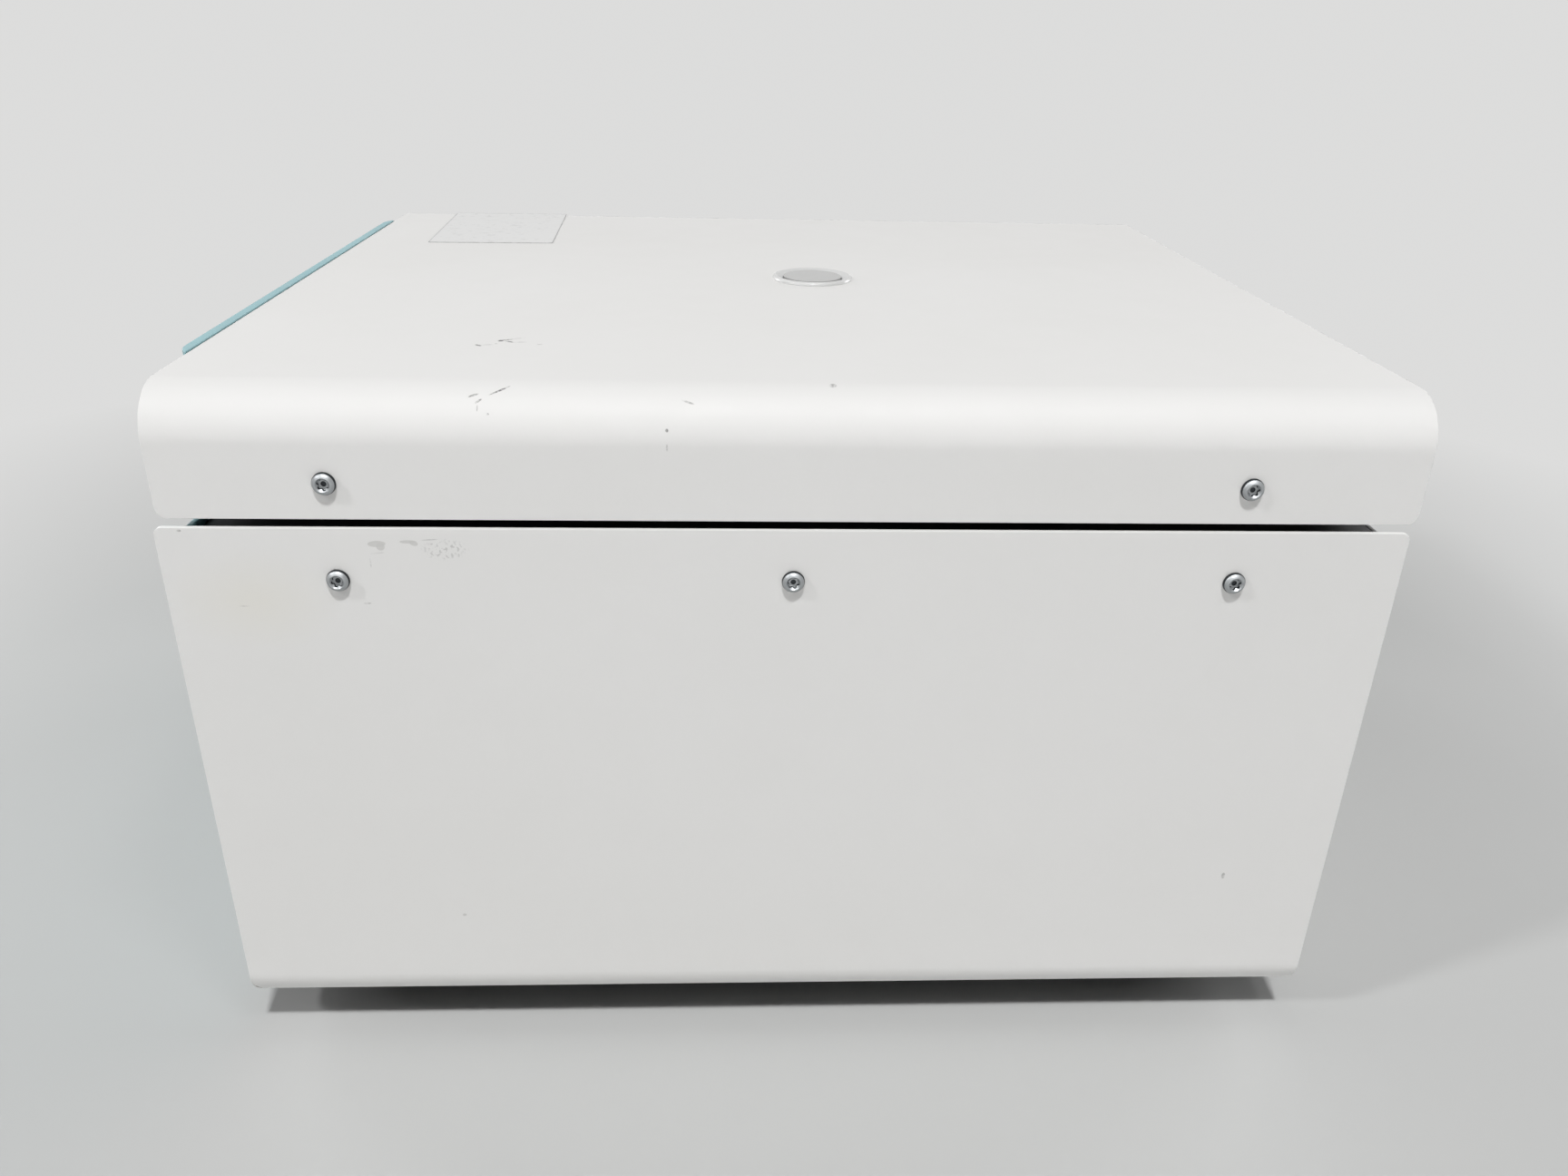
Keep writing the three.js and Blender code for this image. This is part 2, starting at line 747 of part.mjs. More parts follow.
function windowPort() {
  const rim = lidTop + fit + portFlange;
  const ledge = rim - lensDrop - lensThickness - fit;
  const bore = lensRadius + fit;
  const profile = [
    [bore - portLedge, linerUnder],
    [portRadius, linerUnder],
    [portRadius, lidTop + fit],
    [portFlangeRadius, lidTop + fit],
    [portFlangeRadius, rim - portChamfer],
    [portFlangeRadius - portChamfer, rim],
    [bore, rim],
    [bore, ledge],
    [bore - portLedge, ledge],
  ];
  return turned(profile, largeSides);
}

function windowLens() {
  const high = lidTop + fit + portFlange - lensDrop;
  return rod(lensRadius, 'z', high - lensThickness, high, largeSides);
}

// Hinge pieces are drawn about the pin's axis. Their plates lie on the liner and the rear panel.
const hingeBackY = panelOuterY - hingeY;
const hingeFaceY = hingeBackY + hingePlate;
const earHalf = hingeLength / 2;
const knuckleHalf = hingeKnuckle / 2;

function hingeBracket() {
  const pinBore = rod(hingePinRadius + hingePinFit, 'x', -hingeLength, hingeLength);
  const plateTop = -2 * knuckleRadius;
  const plate = block(both(earHalf), [hingeBackY, hingeFaceY], [-bracketReach, plateTop]);
  const web = polygon([
    [hingeBackY, -bracketReach],
    [hingeFaceY, -bracketReach],
    [knuckleRadius, 0],
    [-knuckleRadius, 0],
    [hingeBackY, plateTop],
  ]);
  const inner = knuckleHalf + hingeGap;
  const ear = prism(web, 'x', inner, earHalf).add(rod(knuckleRadius, 'x', inner, earHalf, mediumSides));
  return plate.add(ear).add(ear.mirror([1, 0, 0])).subtract(pinBore);
}

function hingeLeaf() {
  const pinBore = rod(hingePinRadius + hingePinFit, 'x', -hingeLength, hingeLength);
  const plateLow = knuckleRadius + hingePlate;
  const plate = block(both(earHalf), [hingeBackY, hingeFaceY], [plateLow, leafReach]);
  const web = polygon([
    [hingeBackY, leafReach / 2],
    [hingeBackY, knuckleRadius],
    [-knuckleRadius, 0],
    [knuckleRadius, 0],
    [hingeFaceY, leafReach / 2],
  ]);
  const knuckle = rod(knuckleRadius, 'x', -knuckleHalf, knuckleHalf, mediumSides);
  return plate.add(prism(web, 'x', -knuckleHalf, knuckleHalf)).add(knuckle).subtract(pinBore);
}

function hingePin() {
  const profile = [
    [0, -earHalf],
    [hingePinRadius, -earHalf],
    [hingePinRadius, earHalf + fit],
    [hingePinHead, earHalf + fit],
    [hingePinHead, earHalf + hingePinRadius],
    [0, earHalf + hingePinRadius],
  ];
  return turned(profile, smallSides, 'x');
}

function lockHousing() {
  const halfDepth = lockDepth / 2;
  const bodyY = [lockY - halfDepth, lockY + halfDepth];
  const body = block(both(lockHalfWidth), bodyY, [lockTop - lockHeight, lockTop]);
  const throatX = both(strikerThickness / 2 + slotClear);
  const throatY = [lockY - strikerWidth / 2 - slotClear, lockY + strikerWidth / 2 + slotClear];
  const throat = block(throatX, throatY, [linerUnder - strikerDrop - slotClear, lockTop + overrun]);
  const boreFrom = -strikerThickness / 2 - slotClear - boltPocket;
  const bore = rod(boltRadius + fit, 'x', boreFrom, lockHalfWidth + overrun);
  return body.subtract(throat).subtract(bore.translate(0, lockY, boltZ));
}

function lockBolt() {
  const tail = boltRest + boltLength;
  const profile = [
    [0, boltRest],
    [boltRadius, boltRest],
    [boltRadius, tail],
    [boltHeadRadius, tail],
    [boltHeadRadius, tail + boltHeadLength],
    [0, tail + boltHeadLength],
  ];
  return turned(profile, smallSides, 'x');
}

// A tongue with a hole for the bolt. Its head lies on the liner's floor.
function striker() {
  const tongueZ = [linerUnder - strikerDrop, linerFloor + fit];
  const tongueY = [lockY - strikerWidth / 2, lockY + strikerWidth / 2];
  const tongue = block(both(strikerThickness / 2), tongueY, tongueZ);
  const headFrom = linerFloor + fit;
  const headY = [lockY - strikerHeadLength / 2, lockY + strikerHeadLength / 2];
  const head = block(both(strikerHeadLength / 2), headY, [headFrom, headFrom + strikerHeadHeight]);
  const hole = rod(boltRadius + 2 * fit, 'x', -strikerWidth, strikerWidth).translate(0, lockY, boltZ);
  return tongue.add(head).subtract(hole);
}

const keyPlaces = [0, 1, 2].map((i) => i * keyPitch - keyFirst);

function displayCut(grow, from, to) {
  const low = bayLowZ + displayLow - grow;
  const high = low + displayHeight + 2 * grow;
  return block([-displayLeft - grow, grow - displayRight], [from, to], [low, high]);
}

// The front of the base: a plate in the channel, and a hollow console with a sunken control bay.
function frontPanel() {
  const backY = frontY + wall;
  const plate = prism(tablet(insideX, floorZ + fit, baseTop, trayRound, 0), 'y', frontY, backY);
  const lowZ = floorZ + consoleLow;
  const consoleBlock = prism(tablet(browHalf, -edgeY, backY, browRound, 0), 'z', lowZ, baseTop);
  const hollow = frontHollow(backY, lowZ + wall, baseTop - wall);
  const bayOuterY = [wall - edgeY, bayBackY];
  const bayOuter = block(both(bayHalf + wall), bayOuterY, [bayLowZ - wall, bayTopZ + wall]);
  const bay = block(both(bayHalf), [-edgeY - overrun, bayFloorY], [bayLowZ, bayTopZ]);
  const keyHalf = keyWidth / 2 + fit;
  const keyHoles = keyPlaces.map((x) => {
    const keyZs = [keyZ - keyHeight / 2 - fit, keyZ + keyHeight / 2 + fit];
    return block([x - keyHalf, x + keyHalf], [bayFloorY - overrun, bayBackY + overrun], keyZs);
  });
  const knobHole = rod(knobShaftRadius + fit, 'y', bayFloorY - overrun, bayBackY + overrun);
  const display = displayCut(fit, bayFloorY - overrun, bayFloorY + displayThickness);
  const knobBore = knobHole.translate(knobRight, 0, knobZ);
  const openings = wasm.Manifold.union([bay, display, knobBore, ...keyHoles]);
  return plate.add(consoleBlock).subtract(hollow).add(bayOuter).subtract(openings);
}

function displayWindow() {
  return displayCut(0, bayFloorY, bayFloorY + displayThickness - fit);
}

// A key about its middle, with y = 0 on the bay's floor. Its flange bears on the bay's back.
function key() {
  const halfX = keyWidth / 2;
  const halfZ = keyHeight / 2;
  const flangeFrom = wall + fit;
  const flangeTo = flangeFrom + keyFlangeThickness;
  const cap = block(both(halfX), [-keyProud, flangeTo], both(halfZ));
  const flange = block(both(halfX + keyFlange), [flangeFrom, flangeTo], both(halfZ + keyFlange));
  const stem = rod(postRadius, 'y', wall, flangeTo + keyStem);
  return cap.add(flange).add(stem);
}

// The knob about its axis, with y = 0 on the bay's floor.
function speedKnob() {
  const shaftEnd = wall + boardSetback - encoderHalf - fit;
  const profile = [
    [0, -knobHeight],
    [knobFaceRadius - knobChamfer, -knobHeight],
    [knobFaceRadius, knobChamfer - knobHeight],
    [knobRadius, -fit],
    [knobShaftRadius, -fit],
    [knobShaftRadius, shaftEnd],
    [0, shaftEnd],
  ];
  return turned(profile, largeSides, 'y');
}

// The board with its posts, the display module, the knob's encoder and a switch behind each key.
function controlBoard() {
  const low = bayLowZ + boardMargin;
  const high = bayTopZ - boardMargin;
  const half = bayHalf - boardMargin;
  const board = block(both(half), [boardY, boardY + boardThickness], [low, high]);
  const postX = both(half - postInset);
  const postZ = [low + postInset, high - postInset];
  const post = rod(postRadius, 'y', bayBackY + fit, boardY + fit);
  const posts = postX.flatMap((x) => postZ.map((z) => post.translate(x, 0, z)));
  const module = displayCut(-keyFlange, bayBackY + fit, boardY + fit);
  const encoderX = [knobRight - encoderHalf, knobRight + encoderHalf];
  const encoderZ = [knobZ - encoderHalf, knobZ + encoderHalf];
  const encoder = block(encoderX, [boardY - encoderHalf, boardY + fit], encoderZ);
  const stemEnd = bayFloorY + wall + fit + keyFlangeThickness + keyStem;
  const switchFrom = stemEnd + keyTravel + fit;
  const switches = keyPlaces.map((x) => {
    const switchX = [x - postRadius, x + postRadius];
    return block(switchX, [switchFrom, boardY + fit], [keyZ - postRadius, keyZ + postRadius]);
  });
  return wasm.Manifold.union([board, module, encoder, ...posts, ...switches]);
}

function rearPanel() {
  const innerY = rearY - panelSheet;
  const plate = prism(tablet(insideX, floorZ + fit, deckTop, trayRound, 0), 'y', innerY, rearY);
  const throughY = [innerY - overrun, rearY + overrun];
  const inletX = [-inletLeft - inletHalfWidth - fit, fit + inletHalfWidth - inletLeft];
  const inletHoleZ = [inletZ - inletHalfHeight - fit, inletZ + inletHalfHeight + fit];
  const inletHole = block(inletX, throughY, inletHoleZ);
  const switchX = [-switchLeft - switchHalfWidth - fit, fit + switchHalfWidth - switchLeft];
  const switchZ = [inletZ - switchHalfHeight - fit, inletZ + switchHalfHeight + fit];
  const switchHole = block(switchX, throughY, switchZ);
  const ventZ = [floorZ + ventLow, floorZ + ventLow + ventHeight];
  const vents = Array.from({ length: ventCount }, (_, i) => {
    const x = ventStart + i * ventPitch;
    return block([x, x + ventWidth], throughY, ventZ);
  });
  return plate.subtract(wasm.Manifold.union([inletHole, switchHole, ...vents]));
}

// The mains inlet about its middle, with y = 0 on the rear panel's face.
function mainsInlet() {
  const flangeX = both(inletHalfWidth + inletFlange);
  const flangeZ = both(inletHalfHeight + inletFlange);
  const flange = block(flangeX, [fit, fit + inletFlangeThickness], flangeZ);
  const body = block(both(inletHalfWidth), [-inletDepth, fit + inletWall], both(inletHalfHeight));
  const mouth = fit + inletFlangeThickness;
  const socketX = both(inletHalfWidth - inletWall);
  const socketZ = both(inletHalfHeight - inletWall);
  const socket = block(socketX, [mouth - inletSocketDepth, mouth + overrun], socketZ);
  return flange.add(body).subtract(socket);
}

const rockerPivotY = fit - rockerBack;
const rockerSweepX = rockerHalfWidth + fit;
const rockerSweepZ = Math.hypot(rockerHalfHeight, rockerTip) * Math.cos(
  Math.atan2(rockerTip, rockerHalfHeight) - rockerTilt,
) + fit;

function switchBody() {
  const flangeX = both(switchHalfWidth + inletFlange);
  const flangeZ = both(switchHalfHeight + inletFlange);
  const flange = block(flangeX, [fit, fit + inletFlangeThickness], flangeZ);
  const body = block(both(switchHalfWidth), [-switchDepth, fit + inletWall], both(switchHalfHeight));
  const cavityY = [rockerPivotY - rockerBack - inletWall, fit + inletFlangeThickness + overrun];
  const cavity = block(both(rockerSweepX), cavityY, both(rockerSweepZ));
  const axleHole = rod(rockerAxleRadius + fit, 'x', -switchHalfWidth, switchHalfWidth);
  return flange.add(body).subtract(cavity).subtract(axleHole.translate(0, rockerPivotY, 0));
}

// The rocker about its axle. Its two outer faces meet in a shallow valley.
function powerRocker() {
  const outline = polygon([
    [-rockerBack, -rockerHalfHeight / 2],
    [rockerTip, -rockerHalfHeight],
    [rockerValley, 0],
    [rockerTip, rockerHalfHeight],
    [-rockerBack, rockerHalfHeight / 2],
  ]);
  const axleEnd = rockerSweepX + rockerAxleReach;
  const axle = rod(rockerAxleRadius, 'x', -axleEnd, axleEnd);
  return prism(outline, 'x', -rockerHalfWidth, rockerHalfWidth).add(axle);
}

// Colours and finishes
function finish(color, roughness, metalness) {
  return new THREE.MeshStandardMaterial({ color, roughness, metalness, flatShading: true });
}

const paint = finish('#dbd9d5', 0.5, 0);
const teal = finish('#8cc0c4', 0.45, 0);
const black = finish('#1c1d1f', 0.6, 0);
const zinc = finish('#b4b8ba', 0.35, 1);
const stainless = finish('#c2c4c6', 0.25, 1);
const steel = finish('#8c8f92', 0.45, 1);
const aluminium = finish('#a9adb0', 0.4, 1);
const rubber = finish('#242424', 0.9, 0);
const clear = finish('#cfd3d4', 0.15, 0);
const smoked = finish('#20262a', 0.1, 0);
const greyPlastic = finish('#c9cbca', 0.5, 0);
const board = finish('#2f5f44', 0.6, 0);

const centrifuge = new THREE.Group();

function place(parent, name, solid, material, position = [0, 0, 0], rotation = [0, 0, 0]) {
  const mesh = new THREE.Mesh(geometryOf(solid), material);
  mesh.name = name;
  mesh.position.set(...position);
  mesh.rotation.set(...rotation);
  parent.add(mesh);
}

// A screw at each place on both side faces, numbered from the front, right side first.
function placeScrews(parent, name, places) {
  const screw = panScrew();
  places.forEach(([y, z], i) => {
    place(parent, `${name}_${i + 1}`, screw, zinc, [sideX, y, z]);
    place(parent, `${name}_${i + 1 + places.length}`, screw, zinc, [-sideX, y, z], [0, 0, Math.PI]);
  });
}

const base = new THREE.Group();
const lid = new THREE.Group();
const drive = new THREE.Group();
drive.position.set(0, chamberY, 0);
centrifuge.add(base, lid, drive);

place(base, 'base_shell', baseShell(), paint);
place(base, 'front_panel', frontPanel(), teal);
place(base, 'rear_panel', rearPanel(), paint);
place(base, 'top_deck', topDeck(), black);
place(base, 'chassis_plate', chassisPlate(), steel);
place(base, 'lock_housing', lockHousing(), black);
place(base, 'lock_bolt', lockBolt(), steel, [0, lockY, boltZ]);
place(base, 'control_board', controlBoard(), board);
place(base, 'display_window', displayWindow(), smoked);
place(base, 'speed_knob', speedKnob(), greyPlastic, [knobRight, bayFloorY, knobZ]);
['start_key', 'stop_key', 'lid_key'].forEach((name, i) => {
  place(base, name, key(), greyPlastic, [keyPlaces[i], bayFloorY, keyZ]);
});
place(base, 'mains_inlet', mainsInlet(), black, [-inletLeft, rearY, inletZ]);
place(base, 'switch_body', switchBody(), black, [-switchLeft, rearY, inletZ]);
const rockerPlace = [-switchLeft, rearY + rockerPivotY, inletZ];
place(base, 'power_rocker', powerRocker(), black, rockerPlace, [-rockerTilt, 0, 0]);
placeScrews(base, 'side_screw', sideScrewPlaces);

const footX = sideX - footInset;
const footY = edgeY - footSetback;
[[-footX, -footY], [footX, -footY], [-footX, footY], [footX, footY]].forEach(([x, y], i) => {
  place(base, `foot_${i + 1}`, foot(), rubber, [x, y, 0]);
});

place(drive, 'chamber_bowl', chamberBowl(), stainless);
place(drive, 'lid_seal', lidSeal(), rubber);
place(drive, 'guard_ring', guardRing(), steel);
place(drive, 'motor_housing', motorHousing(), aluminium);
place(drive, 'motor_armature', armature(), steel);
place(drive, 'lower_bearing', bearing(), steel, [0, 0, motorBottom + bearingLip]);
place(drive, 'upper_bearing', bearing(), steel, [0, 0, motorTop - bearingLip - bearingWidth - fit]);
place(drive, 'drive_shaft', driveShaft(), steel);
place(drive, 'shaft_boot', shaftBoot(), rubber);
place(drive, 'rotor_head', rotorHead(), aluminium);
place(drive, 'rotor_nut', rotorNut(), aluminium);
for (let i = 0; i < damperCount; i += 1) {
  const turn = (i * 2 * Math.PI) / damperCount;
  const position = [damperCircle * Math.sin(turn), damperCircle * Math.cos(turn), motorTop + fit];
  place(drive, `damper_${i + 1}`, damper(), rubber, position);
}
for (let i = 0; i < bucketCount; i += 1) {
  const turn = (i * 2 * Math.PI) / bucketCount;
  const position = [pivotCircle * Math.cos(turn), pivotCircle * Math.sin(turn), pivotZ];
  place(drive, `bucket_${i + 1}`, bucket(), aluminium, position, [0, 0, turn]);
}

place(lid, 'lid_shell', lidShell(), paint);
place(lid, 'lid_front_trim', lidFrontTrim(), teal);
place(lid, 'lid_liner', lidLiner(), black);
place(lid, 'window_port', windowPort(), clear, [0, chamberY, 0]);
place(lid, 'window_lens', windowLens(), clear, [0, chamberY, 0]);
place(lid, 'lid_striker', striker(), steel);
placeScrews(lid, 'lid_screw', lidScrewPlaces);

['left', 'right'].forEach((side, i) => {
  const position = [both(hingeX)[i], hingeY, hingeZ];
  place(base, `hinge_bracket_${side}`, hingeBracket(), steel, position);
  place(base, `hinge_pin_${side}`, hingePin(), steel, position);
  place(lid, `hinge_leaf_${side}`, hingeLeaf(), steel, position);
});

export default centrifuge;
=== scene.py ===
# Benchtop centrifuge: the finished surfaces round its fixed frame. Lengths are in metres.
import json
import math

import bmesh
import bpy
from mathutils import Matrix, Quaternion, Vector

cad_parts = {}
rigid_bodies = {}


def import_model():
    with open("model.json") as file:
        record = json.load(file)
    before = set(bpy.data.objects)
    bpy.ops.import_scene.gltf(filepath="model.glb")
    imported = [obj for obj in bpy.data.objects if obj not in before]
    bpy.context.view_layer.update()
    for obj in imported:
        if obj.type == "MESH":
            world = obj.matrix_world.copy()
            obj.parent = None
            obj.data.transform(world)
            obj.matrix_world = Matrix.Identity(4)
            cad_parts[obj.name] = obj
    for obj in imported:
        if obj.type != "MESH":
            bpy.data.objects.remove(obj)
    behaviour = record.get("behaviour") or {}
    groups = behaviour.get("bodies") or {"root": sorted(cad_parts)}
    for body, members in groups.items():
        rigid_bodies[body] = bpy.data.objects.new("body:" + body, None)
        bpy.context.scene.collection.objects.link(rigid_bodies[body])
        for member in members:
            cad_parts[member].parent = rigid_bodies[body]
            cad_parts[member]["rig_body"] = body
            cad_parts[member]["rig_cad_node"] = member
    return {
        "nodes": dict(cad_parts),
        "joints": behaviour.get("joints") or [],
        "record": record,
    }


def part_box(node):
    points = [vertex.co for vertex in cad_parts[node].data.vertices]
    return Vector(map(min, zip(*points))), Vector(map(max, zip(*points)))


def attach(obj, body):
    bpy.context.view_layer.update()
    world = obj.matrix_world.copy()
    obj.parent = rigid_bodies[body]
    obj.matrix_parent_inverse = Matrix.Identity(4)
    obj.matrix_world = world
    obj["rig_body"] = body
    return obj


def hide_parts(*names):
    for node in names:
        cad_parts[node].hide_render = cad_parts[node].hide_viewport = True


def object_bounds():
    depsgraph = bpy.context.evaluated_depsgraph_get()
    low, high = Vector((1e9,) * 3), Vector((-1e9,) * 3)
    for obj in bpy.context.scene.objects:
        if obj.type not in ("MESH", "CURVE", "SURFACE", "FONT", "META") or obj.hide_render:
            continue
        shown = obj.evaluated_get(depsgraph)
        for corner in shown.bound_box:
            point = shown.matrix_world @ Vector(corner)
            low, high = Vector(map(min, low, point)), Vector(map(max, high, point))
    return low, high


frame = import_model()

cadLow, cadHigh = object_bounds()
record = frame["record"]
bodyOf = {node: body for body, nodes in record["behaviour"]["bodies"].items() for node in nodes}
slotOf = {part["node"]: part["material_slot"] for part in record["subparts"]}
pivotOf = {joint["name"]: Vector(joint.get("pos_m", (0, 0, 0))) for joint in frame["joints"]}
mm = 0.001
tiny = 0.02 * mm
facing = 0.9             # a face looks along an axis where its normal's share of it is above this
sideways = 0.5           # and sideways to it where the share is below this
finishes = {}
print("frame loaded:", len(frame["nodes"]), "nodes")


# Selecting and editing
def deselect():
    if bpy.context.object and bpy.context.object.mode == "EDIT":
        bpy.ops.object.mode_set(mode="OBJECT")
    bpy.ops.object.select_all(action="DESELECT")


def makeActive(piece):
    deselect()
    piece.select_set(True)
    bpy.context.view_layer.objects.active = piece


def startEditing(piece, kind="FACE", everything=False):
    makeActive(piece)
    bpy.ops.object.mode_set(mode="EDIT")
    bpy.ops.mesh.select_mode(type=kind)
    bpy.ops.mesh.select_all(action="SELECT" if everything else "DESELECT")


def stopEditing():
    bpy.ops.object.mode_set(mode="OBJECT")


# Faces are picked by their middle and normal, edges by their two ends, and points by their place
def pick(piece, kind, wanted):
    bpy.ops.mesh.select_mode(type=kind)
    bpy.ops.mesh.select_all(action="DESELECT")
    mesh = bmesh.from_edit_mesh(piece.data)
    group, measure = {
        "FACE": (mesh.faces, lambda face: (face.calc_center_median(), face.normal)),
        "EDGE": (mesh.edges, lambda edge: (edge.verts[0].co, edge.verts[1].co)),
        "VERT": (mesh.verts, lambda point: (point.co,)),
    }[kind]
    for element in group:
        if wanted(*measure(element)):
            element.select_set(True)
    bmesh.update_edit_mesh(piece.data)


def near(a, b, within=0.05 * mm):
    return abs(a - b) < within


def middleOf(node):
    return sum(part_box(node), Vector()) / 2


# Starting and finishing a piece
def applyModifier(piece, kind, **settings):
    makeActive(piece)
    modifier = piece.modifiers.new(kind, kind)
    for key, value in settings.items():
        setattr(modifier, key, value)
    bpy.ops.object.modifier_apply(modifier=modifier.name)


def applyPlace(piece):
    makeActive(piece)
    bpy.ops.object.transform_apply(location=True, rotation=True, scale=True)


def nameNew(name):
    piece = bpy.context.object
    piece.name = name
    applyPlace(piece)
    return piece


def addBlock(name, low, high):
    low, high = Vector(low), Vector(high)
    deselect()
    bpy.ops.mesh.primitive_cube_add(size=1, location=(low + high) / 2, scale=high - low)
    return nameNew(name)


turns = {"x": (0, math.pi / 2, 0), "y": (-math.pi / 2, 0, 0), "z": (0, 0, 0)}


def addRod(name, middle, radius, length, axis, sides):
    deselect()
    bpy.ops.mesh.primitive_cylinder_add(
        vertices=sides, radius=radius, depth=length, location=middle, rotation=turns[axis])
    return nameNew(name)


def carve(piece, cutter):
    applyModifier(piece, "BOOLEAN", object=cutter, operation="DIFFERENCE", solver="EXACT")
    bpy.data.objects.remove(cutter)


# Merges the near points that a cut leaves, and drops what that makes too thin
def joinPoints(piece, within):
    startEditing(piece, "VERT", everything=True)
    bpy.ops.mesh.remove_doubles(threshold=within)
    bpy.ops.mesh.dissolve_degenerate(threshold=tiny / 4)
    stopEditing()


def join(name, parts):
    deselect()
    for part in parts:
        part.select_set(True)
    bpy.context.view_layer.objects.active = parts[0]
    bpy.ops.object.join()
    parts[0].name = name
    return parts[0]


def softenEdges(piece, width, segments=2, angle=40, smoothAngle=35):
    if width > 0:
        applyModifier(
            piece, "BEVEL", width=width, segments=segments, limit_method="ANGLE",
            angle_limit=math.radians(angle), use_clamp_overlap=False, loop_slide=False,
            miter_outer="MITER_ARC")
    makeActive(piece)
    bpy.ops.object.shade_smooth_by_angle(angle=math.radians(smoothAngle))
    applyModifier(piece, "WEIGHTED_NORMAL", keep_sharp=True)


def twin(original, name):
    piece = original.copy()
    piece.data = original.data.copy()
    piece.name = name
    bpy.context.scene.collection.objects.link(piece)
    return piece


# A copy of a frame node with its loose triangles joined up
seamDegrees = 1


def copyNode(node, name):
    piece = twin(frame["nodes"][node], name)
    piece.parent = None
    del piece["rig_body"], piece["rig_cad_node"]
    piece.data.materials.clear()
    startEditing(piece, "VERT", everything=True)
    bpy.ops.mesh.customdata_custom_splitnormals_clear()
    bpy.ops.mesh.remove_doubles(threshold=tiny)
    bpy.ops.mesh.dissolve_limited(angle_limit=math.radians(seamDegrees))
    bpy.ops.mesh.select_all(action="SELECT")
    bpy.ops.mesh.normals_make_consistent(inside=False)
    stopEditing()
    return piece


def dress(piece, node, finish=None):
    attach(piece, bodyOf[node])
    piece.data.materials.clear()
    piece.data.materials.append(finish or finishes[slotOf[node]])


def standFor(piece, node, finish=None):
    dress(piece, node, finish)
    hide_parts(node)


# Divides flat faces at the given heights, which pass through their openings, and drops the other seams
flatAngle = 0.01    # radians


def divideFlats(piece, heights):
    for height in heights:
        startEditing(piece, "VERT", everything=True)
        bpy.ops.mesh.bisect(plane_co=(0, 0, height), plane_no=(0, 0, 1))
    bpy.ops.mesh.select_mode(type="EDGE")
    bpy.ops.mesh.select_all(action="DESELECT")
    mesh = bmesh.from_edit_mesh(piece.data)
    for edge in mesh.edges:
        dividing = any(all(near(point.co.z, height) for point in edge.verts) for height in heights)
        if not dividing and edge.calc_face_angle(math.pi) < flatAngle:
            edge.select_set(True)
    bmesh.update_edit_mesh(piece.data)
    bpy.ops.mesh.dissolve_edges(use_verts=False)
    stopEditing()


# Cuts faces of many sides into triangles, so that a rounded edge that runs into a short side spoils no more
# than the corner it meets
def splitFlats(piece):
    startEditing(piece)
    bpy.ops.mesh.select_face_by_sides(number=4, type="GREATER")    # more than four
    bpy.ops.mesh.quads_convert_to_tris(quad_method="BEAUTY", ngon_method="BEAUTY")
    stopEditing()


# A node's copy with rounded edges
def softCopy(node, name, width, segments=2, heights=()):
    piece = copyNode(node, name)
    if heights:
        divideFlats(piece, heights)
    splitFlats(piece)
    softenEdges(piece, width, segments)
    standFor(piece, node)


# A turned node: its section on one side of the axis, spun in fine steps
alongAxis = {"x": Vector((1, 0, 0)), "y": Vector((0, 1, 0)), "z": Vector((0, 0, 1))}
sectionSide = {"x": "y", "y": "x", "z": "x"}


def spinOutline(piece, middle, axis, steps):
    startEditing(piece, "VERT", everything=True)
    bpy.ops.mesh.spin(steps=steps, angle=2 * math.pi, center=middle, axis=alongAxis[axis])
    bpy.ops.mesh.select_all(action="SELECT")
    bpy.ops.mesh.remove_doubles(threshold=tiny / 4)
    bpy.ops.mesh.normals_make_consistent(inside=False)
    stopEditing()


def turnedCopy(node, name, axis, steps, width, side=None):
    middle = middleOf(node)
    side = alongAxis[side or sectionSide[axis]]
    piece = copyNode(node, name)
    startEditing(piece, "VERT", everything=True)
    across = side.cross(alongAxis[axis])
    bpy.ops.mesh.bisect(
        plane_co=middle, plane_no=across, clear_inner=True, clear_outer=True, threshold=tiny / 2)
    bpy.ops.mesh.select_all(action="SELECT")
    bpy.ops.mesh.bisect(plane_co=middle, plane_no=side, clear_inner=True, threshold=tiny / 2)
    stopEditing()
    spinOutline(piece, middle, axis, steps)
    softenEdges(piece, width)
    return piece


# A turned piece from its outline's points of (radius, height), drawn one after another
def turnedPiece(name, points, middle, axis, steps):
    side = alongAxis[sectionSide[axis]]
    along = alongAxis[axis]
    places = [Vector(middle) + side * radius + along * height for radius, height in points]
    deselect()
    bpy.ops.mesh.primitive_plane_add(size=mm, location=places[0])
    piece = nameNew(name)
    startEditing(piece, "VERT", everything=True)
    bpy.ops.mesh.merge(type="CENTER")
    for start, end in zip(places, places[1:]):
        bpy.ops.mesh.extrude_region_move(TRANSFORM_OT_translate={"value": end - start})
    stopEditing()
    spinOutline(piece, middle, axis, steps)
    return piece


# Finishes
def newFinish(name, color, roughness=0.5, metallic=0.0):
    material = bpy.data.materials.new(name)
    material.use_nodes = True
    nodes = material.node_tree.nodes
    shader = nodes["Principled BSDF"]
    shader.inputs["Base Color"].default_value = (*color, 1)
    shader.inputs["Roughness"].default_value = roughness
    shader.inputs["Metallic"].default_value = metallic
    return material, nodes, material.node_tree.links, shader


